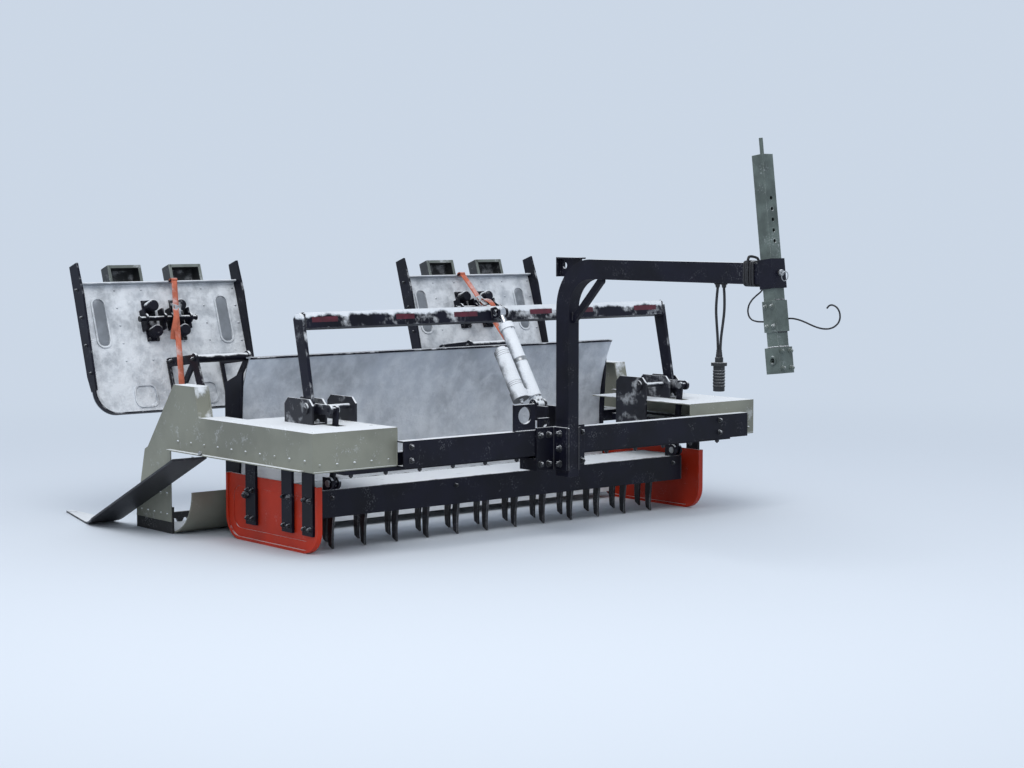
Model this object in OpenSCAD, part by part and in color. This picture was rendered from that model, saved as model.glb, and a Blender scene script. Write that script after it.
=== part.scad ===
// Towed ski-trail groomer: two rows of knives, a curved blade, a finishing pan,
// two track-setter trays folded up behind and a gooseneck hitch in front.
// X points forward, Y to the machine's left, Z up. The origin lies on the ground
// below the middle of the machine. All sizes are in millimetres.

/* [Deck] */
// Half the width over the side panels
half_w = 1150; // [1050:5:1300]
// Height of the side panels' lower edge
deck_z = 340; // [325:5:360]
// Height of the side panels
panel_h = 145; // [120:5:180]
// Front face of the side panels
deck_front = 293; // [280:1:320]
// Thickness of the panels' sheet
sheet = 4; // [3:0.5:6]
// Distance from the side panels to the inner edge of the front decks
deck_w = 380; // [340:5:420]
// Height of the hump that stiffens the panel at the rear
hump_h = 120; // [60:5:160]
// Rear end of the side panels at the ground
tail_x = -1000; // [-1030:5:-980]
// Height of the rubber skirt under the panels' tails
skirt_h = 48; // [30:2:70]
// Side of the square frame tubes
tube = 50; // [40:5:60]
// Wall of the square frame tubes
tube_wall = 4; // [3:0.5:6]

/* [Cross beam] */
// Front face of the cross beam
beam_front = 335; // [325:1:350]
// Height of the cross beam
beam_h = 100; // [80:5:120]
// Thickness of the cross beam's web and flanges
beam_t = 6; // [4:0.5:10]
// Distance from the left side panel's outer face to the cross beam's left end
beam_short = 80; // [30:5:150]
// Thickness of the flat bar under the front tube
bar_t = 18; // [12:1:25]

/* [Skids] */
// Gap between the side rails and the skids
skid_inset = 88; // [70:2:100]
// Thickness of the skids
skid_t = 8; // [6:1:12]
// Depth of the pressed field in a skid's outer face
skid_press = 3; // [1:0.5:4]
// Width of the runner bar along a skid's edge
runner_w = 24; // [16:1:30]
// Thickness of the runner bar
runner_t = 12; // [8:1:16]
// Front end of the skids
skid_front = 120; // [90:5:160]
// Length of the skids
skid_len = 640; // [600:5:660]
// Height of the skids
skid_h = 260; // [240:5:280]
// Radius of the skids' lower corners
skid_r = 95; // [60:5:110]

/* [Knives] */
// Distance from knife to knife in a row
knife_pitch = 152; // [120:1:152]
// Distance from the front row to the rear row
row_gap = 150; // [130:5:165]
// Width of a knife along the machine
knife_w = 38; // [28:1:44]
// Thickness of a knife
knife_t = 10; // [6:1:14]
// Length of a knife below the bed
knife_len = 128; // [110:2:135]
// Height of the bed's lower edge
bed_z = 130; // [125:1:138]
// Height of the knife bed
bed_h = 105; // [90:5:115]
// Front face of the knife bed
bed_front = 52; // [45:1:60]
// Depth of the knife bed
bed_d = 255; // [240:5:265]
// Gap between the knife bed's ends and the skids
bed_gap = 50; // [44:1:70]
// Thickness of the bed's plates
bed_t = 6; // [4:0.5:10]

/* [Blade] */
// Gap between the side rails and the ends of the curved blade
blade_gap = 131; // [116:1:150]
// Height of the blade's top edge
blade_top = 720; // [660:5:760]
// Height of the blade's lower edge
blade_foot = 30; // [20:2:50]
// Radius of the blade's curve
blade_r = 720; // [640:10:900]
// Rearmost point of the blade's front face
blade_x = -500; // [-510:2:-490]
// Thickness of the blade
blade_t = 6; // [4:0.5:10]

/* [Finishing pan] */
// Front end of the finishing pan
fpan_front = -580; // [-600:5:-570]
// Radius of the finishing pan's turned-up front
fpan_r = 180; // [140:5:200]
// Thickness of the finishing pan
fpan_t = 5; // [4:0.5:8]
// Distance from tooth to tooth of the comb
comb_pitch = 50; // [40:5:70]
// Height of the comb
comb_h = 46; // [36:2:56]

/* [Wings] */
// Width of the side wings
wing_w = 155; // [120:5:180]
// Front end of the side wings
wing_front = -440; // [-460:5:-400]
// Rear tip of the side wings
wing_tip = -1555; // [-1570:5:-1500]
// Where the side wings come down to the ground
wing_toe = -1160; // [-1200:5:-1100]
// Thickness of the side wings
wing_t = 8; // [6:1:12]

/* [Gooseneck] */
// Depth of the neck tube, across its bend
neck_d = 76; // [60:2:90]
// Width of the neck tube, side to side
neck_w = 52; // [44:2:60]
// Wall of the neck tube
neck_wall = 5; // [3:0.5:8]
// Middle of the upright post
neck_x = 382; // [375:1:400]
// Height of the level arm's middle
neck_z = 1070; // [1000:5:1140]
// Radius of the neck's bend, at its middle
neck_r = 160; // [130:5:220]
// Height of the post's lower end
neck_foot = 250; // [240:5:280]

/* [Hitch mast] */
// Side of the hitch mast
mast_w = 52; // [44:1:56]
// Length of the hitch mast
mast_len = 682; // [640:2:720]
// Backward lean of the mast
mast_lean = 7.3; // [0:0.1:10]
// Forward reach of the mast's middle where it crosses the arm
mast_x = 1476; // [1400:1:1500]
// Wall of the hitch mast
mast_wall = 5; // [3:0.5:8]
// Length of the sleeve
sleeve_h = 104; // [90:2:130]
// Wall of the sleeve
sleeve_wall = 7; // [5:0.5:10]
// Running gap between the mast and the sleeve
sleeve_gap = 0.5; // [0.3:0.1:1]
// Distance from one height hole to the next
mast_hole_pitch = 38; // [30:1:45]
// Radius of the height holes
mast_hole_r = 7; // [5:0.5:9]
// Side of the coupler block
coupler_w = 68; // [60:1:80]
// Height of the coupler block
coupler_h = 92; // [80:2:110]
// Radius of the coupler's pin bore
coupler_r = 10; // [8:0.5:13]

/* [Lift] */
// Forward place of the hoop's pivots
hoop_x = -20; // [-30:1:-10]
// Height of the hoop's pivots
hoop_z = 545; // [540:1:560]
// Distance from the pivots to the hoop's bar
hoop_r = 335; // [300:5:350]
// Backward lean of the hoop at rest
hoop_lean = 12; // [6:1:16]
// Distance by which the hoop's uprights pass the knife bed's ends
hoop_past = 5; // [-10:1:10]
// Side of the hoop's square bar
hoop_bar = 60; // [50:2:66]
// Thickness of the hoop's uprights
hoop_t = 14; // [10:1:20]
// Length of the cranks that lift the knife bed
crank_len = 110; // [95:1:115]
// Radius of the pivot pins
pin_r = 10; // [8:0.5:12]
// Radial gap of a hinge
pin_gap = 0.06; // [0.05:0.01:0.1]
// Forward place of the knife bed's hinge
bed_hinge_x = -360; // [-370:1:-350]
// Height of the knife bed's hinge
bed_hinge_z = 185; // [180:1:200]

/* [Actuator] */
// Forward place of the actuator's foot pin
act_x = 205; // [195:1:215]
// Height of the actuator's foot pin
act_z = 520; // [510:1:530]
// Radius of the actuator's tube
act_r = 27; // [22:1:30]
// Radius of the actuator's rod
rod_r = 11; // [9:0.5:14]
// Radius of the actuator's motor
motor_r = 31; // [26:1:36]
// Length of the actuator's motor
motor_len = 190; // [150:5:210]

/* [Track trays] */
// Distance of the trays' middles from the machine's middle
tray_y = 850; // [830:5:860]
// Width of a tray
tray_w = 790; // [700:5:790]
// Length of a tray's sheet
tray_len = 570; // [540:5:600]
// Thickness of a tray's sheet
tray_t = 4; // [3:0.5:6]
// Forward place of the trays' hinges
tray_hinge_x = -841; // [-850:1:-835]
// Height of the trays' hinges
tray_hinge_z = 322; // [315:1:335]
// Front end of a tray when it is down
tray_nose = -1060; // [-1080:1:-1050]
// Angle through which the trays are folded up
tray_up = 71.5; // [60:0.5:80]
// Width of a track mould
mould_w = 158; // [130:2:170]
// Depth of a track mould below the tray
mould_h = 70; // [60:2:75]
// Distance between the two track moulds' middles
mould_gap = 296; // [270:2:310]
// Length by which the moulds and rails pass the tray's rear edge
mould_over = 80; // [50:5:100]
// Thickness of the trays' side rails
rail_t = 10; // [8:1:14]
// Thickness of the tray arms' plates
arm_t = 10; // [8:1:14]

/* [Hidden] */
$fn = 48;

black = [0.05, 0.05, 0.06];
zinc = [0.56, 0.58, 0.53];
orange = [0.72, 0.16, 0.06];
mast_green = [0.38, 0.44, 0.42];

// Flat faces of two pieces that only lie side by side stay this far apart
seam = 0.3;
// The round ends of flat bars stand this much proud of the bar
eye_step = 1;
deck_top = deck_z + panel_h;
deck_in = half_w - deck_w;
wall_in = half_w - sheet;
rail_out = wall_in;
rail_in = wall_in - tube;
skid_y = rail_in - skid_inset - skid_t;
bed_half = skid_y - bed_gap;
blade_half = rail_in - blade_gap;
beam_right = -deck_in;
beam_left = half_w - beam_short;
hump_lip = 60;
hump_rise = 30;
deck_len = deck_w + 240;
ledge_w = tube + 60;
front_tube_x = deck_front - sheet - tube;
beam_z = deck_z - 5;
beam_back = deck_front;
hump_x = -500;
hump_len = 160;
tail_front = -720;
tail_slope = 120;
skirt_t = 10;
bar_w = 6;
flange_w = 22;

// Rest places of the drop links' pins, fore and aft and up
crank_x = hoop_x + crank_len;
bed_ear_x = bed_front + 10;
bed_ear_z = bed_z + bed_h + 28;
hoop_half = bed_half + hoop_past;
crank_t = 10;
crank_in = hoop_half - hoop_t - crank_t;
link_t = 10;
link_y = crank_in - 21 - link_t / 2;
knife_n = floor(2 * (bed_half - bed_t) / knife_pitch);
link_w = 30;

// Mast: unit vector up along it and its middle where it crosses the arm
mast_mid_up = 260;
mast_rod = 60;
sleeve_in = mast_w / 2 + sleeve_gap;
sleeve_out = sleeve_in + sleeve_wall;

// Actuator: its top pin on the hoop and its length and slope at rest
hoop_eye = 28;
eye_out = 55;
eye_x = hoop_x - hoop_r * sin(hoop_lean) + eye_out * cos(hoop_lean);
eye_z = hoop_z + hoop_r * cos(hoop_lean) + eye_out * sin(hoop_lean);
act_len = norm([eye_x - act_x, eye_z - act_z]);
act_tilt = atan2(act_x - eye_x, eye_z - act_z);
motor_x = -10;
motor_y = -act_r - motor_r - 10;

// Trays: rail outline and the height of the sheet's upper face when down
tray_z = mould_h;
tray_tail = tray_nose - tray_len;
tray_r = 95;
rim_h = 26;
mount_back = 400;
mount_x = tray_nose - mount_back;
arm_y = [-245, 15];
strap_foot = [-40, 150, -12];

// Cords, as points on their middle lines
lead_r = 5;
wire_r = 3;
lead_a = [[1208, 0, 1032], [1208, 0, 1015], [1205, 0, 990], [1202, 0, 960], [1201, 0, 930],
    [1203, 0, 900], [1206, 0, 870], [1209, 0, 840], [1211, 0, 810], [1212, 0, 785], [1212, 0, 762]];
lead_b = [[1240, 0, 1032], [1240, 0, 1015], [1242, 0, 990], [1243, 0, 960], [1242, 0, 930],
    [1238, 0, 900], [1233, 0, 870], [1228, 0, 840], [1225, 0, 810], [1224, 0, 785], [1224, 0, 762]];
wire_path = [[1418, 26, 1058], [1418, 33, 1058], [1416, 38, 1049], [1406, 39, 1028], [1388, 38, 1006], [1362, 38, 988],
    [1340, 38, 970], [1326, 38, 948], [1325, 38, 924], [1338, 38, 906], [1362, 39, 898], [1392, 40, 897],
    [1425, 41, 899], [1460, 42, 904], [1495, 42, 910], [1530, 42, 914], [1565, 40, 911], [1600, 36, 904],
    [1635, 31, 895], [1670, 25, 888], [1705, 19, 885], [1738, 13, 888], [1766, 8, 898], [1786, 4, 915],
    [1793, 0, 936], [1787, -3, 956], [1769, -4, 968], [1749, -3, 968], [1734, 0, 958]];

// Draws its children once on the side that is asked for: 1 is left, -1 is right
module on_side(side) {
    mirror([0, side < 0 ? 1 : 0, 0]) children();
}

// Draws its children on both sides
module both_sides() {
    on_side(1) children();
    on_side(-1) children();
}

// A flat piece drawn in X and Z, t thick, with its right face at y
module upright(y, t) {
    translate([0, y + t, 0]) rotate([90, 0, 0]) linear_extrude(t) children();
}

// A flat piece drawn in Y and Z, t thick, with its rear face at x
module facing(x, t) {
    translate([x, 0, 0]) rotate([90, 0, 90]) linear_extrude(t) children();
}

// A round bar along Y from y0 to y1
module cross_pin(x, z, r, y0, y1) {
    translate([x, y0, z]) rotate([-90, 0, 0]) cylinder(r = r, h = y1 - y0);
}

// A square tube along Y
module tube_y(x, y0, y1, z, w, wall) {
    difference() {
        translate([x, y0, z]) cube([w, y1 - y0, w]);
        translate([x + wall, y0 - 1, z + wall]) cube([w - 2 * wall, y1 - y0 + 2, w - 2 * wall]);
    }
}

// A rectangle with rounded corners, made of exact arcs
module round_rect(w, h, r) {
    translate([r, 0]) square([w - 2 * r, h]);
    translate([0, r]) square([w, h - 2 * r]);
    for (x = [r, w - r], y = [r, h - r]) translate([x, y]) circle(r);
}

// A bar between two points of a plane, with round ends a little wider than the bar
module round_bar(a, b, r) {
    d = b - a;
    half = r - eye_step;
    translate(a) circle(r);
    translate(b) circle(r);
    translate(a) rotate(atan2(d[1], d[0])) translate([0, -half]) square([norm(d), 2 * half]);
}

// Side panel

// Outline of a side panel's outer wall: a long front, a hump and a tail that slopes to the skirt
module panel_outline() {
    polygon([
        [deck_front, deck_z], [deck_front, deck_top], [hump_x, deck_top],
        [hump_x - hump_rise, deck_top + hump_h], [hump_x - hump_rise - hump_len, deck_top + hump_h],
        [tail_x + tail_slope - 20, deck_z], [tail_x + tail_slope - 45, deck_z - 12],
        [tail_x, skirt_h], [tail_front, skirt_h], [tail_front, deck_z]]);
}

// Slot in the front deck that the drop link passes through
module link_slot() {
    translate([bed_ear_x - 30, link_y - 22, deck_top - 3 * sheet])
        cube([crank_x - bed_ear_x + 66, 44, 6 * sheet]);
}

// The inward flange that follows the hump and the tail's slope
module hump_flange() {
    top = deck_top + hump_h;
    rear = hump_x - hump_rise - hump_len;
    foot = tail_x + tail_slope - 20;
    upright(wall_in - hump_lip, hump_lip) polygon([
        [hump_x, deck_top - sheet], [hump_x, deck_top], [hump_x - hump_rise, top], [rear, top], [foot, deck_z],
        [foot + 1.2 * sheet, deck_z], [rear + sheet / 2, top - sheet], [hump_x - hump_rise - sheet, top - sheet],
        [hump_x - 1.1 * sheet, deck_top - sheet]]);
}

module side_panel(side) {
    deck_back = deck_front - deck_len;
    color(zinc) on_side(side) {
        upright(wall_in, sheet) panel_outline();
        hump_flange();
        difference() {
            translate([deck_back, deck_in, deck_top - sheet]) cube([deck_len, deck_w - sheet, sheet]);
            link_slot();
        }
        translate([deck_front - sheet, deck_in, deck_z]) cube([sheet, deck_w - sheet, panel_h - sheet]);
        translate([hump_x, wall_in - ledge_w, deck_top - sheet]) cube([deck_back - hump_x, ledge_w, sheet]);
        translate([tail_front, half_w, deck_z]) cube([deck_front - tail_front - 60, flange_w, sheet]);
    }
}

module tail_skirts() {
    color(black) both_sides()
        translate([tail_x - 4, wall_in - skirt_t, 0])
            cube([tail_front - tail_x + 4, skirt_t, skirt_h + 60]);
}

// Frame

module front_tube() {
    color(black) tube_y(front_tube_x, -rail_out, rail_out, deck_z, tube, tube_wall);
}

module front_bar() {
    color(black)
        translate([front_tube_x - 10, -skid_y - skid_t, deck_z - bar_t])
            cube([deck_front - front_tube_x + 10, 2 * (skid_y + skid_t), bar_t]);
}

// A channel whose closed side faces forward, with packers that reach back to the front tube
module cross_beam() {
    color(black) {
        difference() {
            translate([beam_back, beam_right, beam_z])
                cube([beam_front - beam_back, beam_left - beam_right, beam_h]);
            translate([beam_back - 1, beam_right - 1, beam_z + beam_t])
                cube([beam_front - beam_back - beam_t + 1, beam_left - beam_right + 2, beam_h - 2 * beam_t]);
        }
        for (y = [beam_right + 90, -beam_right - 130])
            translate([deck_front - sheet, y, beam_z + 8])
                cube([beam_front - beam_t - deck_front + sheet, 12, tube - 10]);
    }
}

module side_rails() {
    color(black) both_sides() difference() {
        translate([tray_hinge_x + 20, rail_in, deck_z])
            cube([front_tube_x - tray_hinge_x - 20, tube, tube]);
        translate([tray_hinge_x + 19, rail_in + tube_wall, deck_z + tube_wall])
            cube([front_tube_x - tray_hinge_x - 18, tube - 2 * tube_wall, tube - 2 * tube_wall]);
    }
}

module rear_tube() {
    color(black) tube_y(tray_hinge_x + 40, -rail_in, rail_in, deck_z, tube, tube_wall);
}

// Skids

// Outline of a skid, drawn in from its edge by inset
module skid_outline(inset) {
    intersection() {
        translate([skid_front - skid_len + inset, inset])
            round_rect(skid_len - 2 * inset, 2 * skid_h, skid_r - inset);
        translate([skid_front - skid_len, 0]) square([skid_len, skid_h]);
    }
}

// Skid plates with a pressed field and a runner bar round the edge, each with a boss and pin
// on its inner face for the knife bed
module skids() {
    press = 46;
    color(orange) both_sides() {
        difference() {
            upright(skid_y, skid_t) skid_outline(0);
            upright(skid_y + skid_t - skid_press, skid_t)
                translate([skid_front - skid_len + press, press])
                    round_rect(skid_len - 2 * press, skid_h - 2 * press, skid_r - press);
        }
        upright(skid_y + (skid_t - runner_w) / 2, runner_w) difference() {
            skid_outline(0);
            skid_outline(runner_t);
        }
        cross_pin(bed_hinge_x, bed_hinge_z, 24, bed_half + 3, skid_y);
        cross_pin(bed_hinge_x, bed_hinge_z, pin_r, bed_half - 16, skid_y);
    }
}

// Upright flat bars that tie each skid to the rail and the front bar above it
module skid_brackets() {
    w = 70;
    foot = 70;
    color(black) both_sides() {
        for (x = [-335, -80, 60])
            translate([x - w / 2, skid_y + skid_t, foot]) cube([w, 12, deck_z + tube - foot]);
        translate([skid_front - skid_len + 60, skid_y + skid_t, deck_z + 10])
            cube([skid_len - 100, rail_in - skid_y - skid_t, 30]);
    }
}

// Blade

module blade_arc(r0, r1) {
    half = (blade_top - blade_foot) / 2;
    intersection() {
        translate([blade_x + r0, blade_foot + half]) difference() {
            circle(r1, $fn = 180);
            circle(r0, $fn = 180);
        }
        translate([blade_x - 60, blade_foot]) square([blade_r / 2, 2 * half]);
    }
}

module blade() {
    lip = 30;
    top_x = blade_x + blade_r - sqrt(pow(blade_r, 2) - pow((blade_top - blade_foot) / 2, 2));
    color(black) {
        translate([0, blade_half, 0]) rotate([90, 0, 0])
            linear_extrude(2 * blade_half) blade_arc(blade_r, blade_r + blade_t);
        translate([top_x - lip, -blade_half, blade_top - blade_t]) cube([lip - 2, 2 * blade_half, blade_t]);
    }
}

// Two cross tubes behind the blade and end plates that tie it to the side rails
module blade_ribs() {
    back = blade_x - blade_t - tube - 30;
    foot = blade_foot + 150;
    color(black) {
        for (z = [foot, blade_top - 180]) tube_y(back, -blade_half, blade_half, z, tube, tube_wall);
        for (f = [-0.73, -0.25, 0.24, 0.72])
            upright(f * blade_half, bed_t) difference() {
                translate([blade_x - blade_t - 30, blade_foot + 60])
                    square([150, blade_top - blade_foot - 90]);
                translate([blade_x + blade_r, (blade_foot + blade_top) / 2])
                    circle(blade_r + blade_t, $fn = 180);
            }
        both_sides() {
            upright(blade_half, 10) polygon([
                [back, foot], [back, blade_top - 110], [blade_x + 40, blade_top - 60],
                [blade_x + 12, foot + tube], [blade_x + 20, foot]]);
            translate([back, blade_half + 10, deck_z]) cube([tube + 24, rail_in - blade_half - 10, tube]);
        }
    }
}

// Finishing pan

module finishing_pan() {
    color(zinc) translate([0, wall_in - skirt_t, 0]) rotate([90, 0, 0])
        linear_extrude(2 * (wall_in - skirt_t)) {
            translate([tail_x + 22, 0]) square([fpan_front - fpan_r - tail_x - 22, fpan_t]);
            intersection() {
                translate([fpan_front - fpan_r, fpan_r]) difference() {
                    circle(fpan_r, $fn = 96);
                    circle(fpan_r - fpan_t, $fn = 96);
                }
                translate([fpan_front - fpan_r, 0]) square([fpan_r, fpan_r]);
            }
        }
}

// A toothed strip that draws the fine grooves
module comb() {
    n = floor(2 * (wall_in - skirt_t) / comb_pitch);
    y0 = -n * comb_pitch / 2;
    color(black) facing(tail_x + 10, 12) polygon(concat(
        [[y0, comb_h]],
        [for (i = [0 : n - 1], p = [[0, 20], [0.25, 0], [0.5, 0], [0.75, 20]])
            [y0 + (i + p[0]) * comb_pitch, p[1]]],
        [[y0 + n * comb_pitch, 20], [y0 + n * comb_pitch, comb_h]]));
}

// Wings

// Profile of a wing: it slopes down to the ground, turns through an arc and runs out flat
module wing_profile() {
    bend_r = 260;
    slope = atan2(deck_z - 1.1 * wing_t, wing_front - wing_toe);
    flat_end = wing_toe - bend_r * tan(slope / 2);
    translate([wing_tip, 0]) square([flat_end - wing_tip, wing_t]);
    intersection() {
        translate([flat_end, bend_r]) difference() {
            circle(bend_r, $fn = 120);
            circle(bend_r - wing_t, $fn = 120);
        }
        polygon([[flat_end, bend_r], [flat_end, -1], [flat_end + 2 * bend_r * sin(slope / 2), -1],
            [flat_end + 2 * bend_r * sin(slope), bend_r - 2 * bend_r * cos(slope)]]);
    }
    translate([flat_end + bend_r * sin(slope), bend_r * (1 - cos(slope))]) rotate(slope)
        square([2 * bend_r + wing_front - wing_toe, wing_t]);
}

module side_wings() {
    color(black) both_sides() intersection() {
        upright(half_w + seam, wing_w) wing_profile();
        translate([0, 0, -10]) linear_extrude(deck_z + 60) polygon([
            [wing_front - 2, half_w], [wing_front - 2, half_w + wing_w],
            [wing_toe + 60, half_w + wing_w], [wing_tip, half_w + 30], [wing_tip, half_w]]);
    }
}

// Gooseneck

module neck_section(grow) {
    square([neck_d + 2 * grow, neck_w + 2 * grow], center = true);
}

module neck_solid(grow, past) {
    foot = neck_foot - past;
    head = mast_x - sleeve_out + 4 + past;
    translate([neck_x, 0, foot]) linear_extrude(neck_z - neck_r - foot) neck_section(grow);
    translate([neck_x + neck_r, 0, neck_z - neck_r]) rotate([90, 0, 0]) rotate([0, 0, 90])
        rotate_extrude(angle = 90, $fn = 96) translate([neck_r, 0]) neck_section(grow);
    translate([neck_x + neck_r, 0, neck_z]) rotate([0, 90, 0])
        linear_extrude(head - neck_x - neck_r) neck_section(grow);
}

// One square tube: post, bend and level arm, cut at its head to the mast's lean
module neck() {
    color(black) difference() {
        neck_solid(0, 0);
        neck_solid(-neck_wall, 1);
        translate([mast_x, 0, neck_z]) rotate([0, -mast_lean, 0])
            translate([-sleeve_out, -60, -100]) cube([100, 120, 200]);
    }
}

// A short diagonal strut inside the bend
module neck_brace() {
    reach = 160;
    a = [neck_x + neck_d / 2 + 6, neck_z - neck_d / 2 - reach];
    b = [neck_x + neck_d / 2 + reach, neck_z - neck_d / 2 - 6];
    color(black) upright(-8, 16) difference() {
        round_bar(a, b, 15);
        translate([neck_x - neck_d / 2, 0]) square([neck_d, neck_z]);
        translate([neck_x, neck_z - neck_d / 2]) square([400, neck_d]);
    }
}

// The bracket that clamps the post to the beam
module neck_base() {
    w = 250;
    plate = neck_x - neck_d / 2 - beam_front;
    color(black) {
        translate([beam_front, -w / 2, beam_z - 60]) cube([plate, w, beam_h + 70]);
        both_sides() translate([beam_front + plate, neck_w / 2, beam_z - 60]) cube([neck_d, 12, beam_h + 70]);
        translate([front_tube_x, -w / 2, beam_z - 60])
            cube([beam_front - front_tube_x, w, deck_z - bar_t - beam_z + 60]);
    }
}

// A drilled gusset with flat bars that squares off the outside of the bend
module neck_tab() {
    back = neck_x - neck_d / 2;
    top = neck_z + neck_d / 2;
    reach = 120;
    drop = 70;
    eye = 13;
    color(black) {
        translate([back - bar_w, -neck_w / 2 + 4, top - drop]) cube([bar_w, neck_w - 8, drop + bar_w]);
        translate([back, -neck_w / 2 + 4, top]) cube([reach, neck_w - 8, bar_w]);
        upright(-4, 8) difference() {
            translate([back, top - drop]) square([reach, drop]);
            translate([neck_x + neck_r, neck_z - neck_r]) circle(neck_r + neck_d / 2, $fn = 96);
            translate([back + 2 * eye, top - 2 * eye]) circle(eye);
        }
    }
}

module hitch_sleeve() {
    color(black) translate([mast_x, 0, neck_z]) rotate([0, -mast_lean, 0]) difference() {
        translate([-sleeve_out, -sleeve_out, -sleeve_h / 2]) cube([2 * sleeve_out, 2 * sleeve_out, sleeve_h]);
        translate([-sleeve_in, -sleeve_in, -sleeve_h / 2 - 1])
            cube([2 * sleeve_in, 2 * sleeve_in, sleeve_h + 2]);
        rotate([0, 90, 0]) cylinder(r = mast_hole_r, h = sleeve_out + 1);
    }
}

// Two upright lugs welded to the beam's top: a large one with a wide eye and a small one
module tow_lug() {
    t = 14;
    for (lug = [[-178, 104, 105, 34], [-78, 54, 46, 13]]) {
        y = lug[0];
        w = lug[1];
        h = lug[2];
        eye = lug[3];
        color(black) facing(beam_front - t, t) difference() {
            translate([y - w / 2, beam_z + beam_h]) square([w, h]);
            translate([y, beam_z + beam_h + h - 9 - eye]) circle(eye);
        }
    }
}

// Hitch mast, drawn upright from its foot and then leaned back

module leaned() {
    translate([mast_x, 0, neck_z]) rotate([0, -mast_lean, 0])
        translate([0, 0, -mast_mid_up]) children();
}

module hitch_mast() {
    color(mast_green) leaned() difference() {
        union() {
            translate([-mast_w / 2, -mast_w / 2, 0]) cube([mast_w, mast_w, mast_len]);
            translate([-mast_w / 2 - 5, -mast_w / 2 - 5, 55]) cube([mast_w + 10, mast_w + 10, 110]);
            translate([0, 0, mast_len]) cylinder(r = 7, h = mast_rod);
        }
        translate([-mast_w / 2 + mast_wall, -mast_w / 2 + mast_wall, -1])
            cube([mast_w - 2 * mast_wall, mast_w - 2 * mast_wall, mast_len - mast_wall + 1]);
        for (i = [0, 3, 4, 5, 6, 7])
            translate([-mast_w, 0, mast_mid_up + i * mast_hole_pitch]) rotate([0, 90, 0])
                cylinder(r = mast_hole_r, h = 2 * mast_w);
    }
}

module hitch_coupler() {
    color(mast_green) leaned() difference() {
        translate([-coupler_w / 2, -coupler_w / 2, -coupler_h]) cube([coupler_w, coupler_w, coupler_h]);
        translate([0, -coupler_w, -coupler_h / 2]) rotate([-90, 0, 0])
            cylinder(r = coupler_r, h = 2 * coupler_w);
    }
}

// Lift

// Draws its children, made for an upright hoop with its pivots at zero, at the hoop's rest lean
module hoop_rest() {
    translate([hoop_x, 0, hoop_z]) rotate([0, -hoop_lean, 0]) children();
}

// A square bar between two upright plates that cover its ends and widen towards it
module hoop() {
    half = hoop_bar / 2;
    top = hoop_r + half;
    clip = 16;
    inner = hoop_half - hoop_t;
    color(black) hoop_rest() {
        tube_y(-half, -inner, inner, hoop_r - half, hoop_bar, tube_wall);
        both_sides() upright(inner, hoop_t) difference() {
            union() {
                circle(hoop_eye);
                polygon([[-hoop_eye + 3, 0], [hoop_eye - 3, 0], [half, hoop_r - half], [half, top - clip],
                    [half - clip, top], [-half + clip, top], [-half, top - clip], [-half, hoop_r - half]]);
            }
            circle(pin_r + pin_gap);
        }
    }
}

// Cranks beside the uprights, pointing forward to the drop links
module hoop_cranks() {
    color(black) both_sides() upright(crank_in, crank_t) difference() {
        round_bar([hoop_x, hoop_z], [crank_x, hoop_z], 20);
        translate([hoop_x, hoop_z]) circle(pin_r + pin_gap);
        translate([crank_x, hoop_z]) circle(pin_r + pin_gap);
    }
}

// Two ears on the bar that hold the actuator's eye with room to spare
module hoop_clevis() {
    color(black) hoop_rest() for (y = [-26, 16]) upright(y, 10) difference() {
        union() {
            translate([eye_out, hoop_r]) circle(22);
            translate([hoop_bar / 2, hoop_r - 22]) square([eye_out - hoop_bar / 2, 44]);
        }
        translate([eye_out, hoop_r]) circle(pin_r + 6);
        translate([hoop_bar / 2 - 60, hoop_r - 40]) square([60, 80]);
    }
}

// Outline of a pivot plate from the given height up to above the pivot, with clipped corners
module pivot_plate(foot) {
    back = hoop_x - 145;
    front = hoop_x + 45;
    rise = hoop_z + 36;
    clip = 24;
    difference() {
        polygon([[back, foot], [front, foot], [front, rise - clip], [front - clip, rise],
            [back + clip, rise], [back, rise - clip]]);
        translate([hoop_x, hoop_z]) circle(pin_r);
    }
}

// Three upright plates at each pivot, two of them on a base plate, with the pin and its collars
module pivot_brackets() {
    t = 8;
    collar = 22;
    inner = crank_in - 22;
    outer = hoop_half + 6;
    color(black) both_sides() {
        for (y = [inner - t, outer]) upright(y, t) pivot_plate(deck_top);
        upright(deck_in - t, t) pivot_plate(deck_z + 30);
        translate([hoop_x - 145, inner, deck_top]) cube([190, outer - inner, bar_w]);
        cross_pin(hoop_x, hoop_z, pin_r, deck_in - 2 * t, outer + 2 * t);
        for (y = [deck_in - 1.8 * t, outer + t]) cross_pin(hoop_x, hoop_z, collar, y, y + 0.8 * t);
    }
}

module drop_links() {
    a = [crank_x, hoop_z];
    b = [bed_ear_x, bed_ear_z];
    color(black) both_sides() {
        upright(link_y - link_t / 2, link_t) round_bar(a, b, link_w / 2);
        cross_pin(crank_x, hoop_z, pin_r, link_y + link_t / 2, hoop_half - hoop_t);
        cross_pin(bed_ear_x, bed_ear_z, pin_r, link_y - link_t / 2 - 16, link_y + link_t / 2 + 16);
    }
}

module actuator_foot() {
    color(black) {
        for (y = [-28, 18]) upright(y, 10) difference() {
            union() {
                translate([front_tube_x, deck_z + tube]) square([tube, act_z - deck_z - tube]);
                translate([act_x, act_z]) circle(24);
                translate([act_x, act_z - 60]) square([front_tube_x - act_x + 20, 60]);
            }
            translate([act_x, act_z]) circle(pin_r);
        }
        cross_pin(act_x, act_z, pin_r, -32, 32);
    }
}

// Draws its children, made with the foot pin at zero and the eye straight up, at the rest slope
module actuator_rest() {
    translate([act_x, 0, act_z]) rotate([0, -act_tilt, 0]) children();
}

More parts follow.
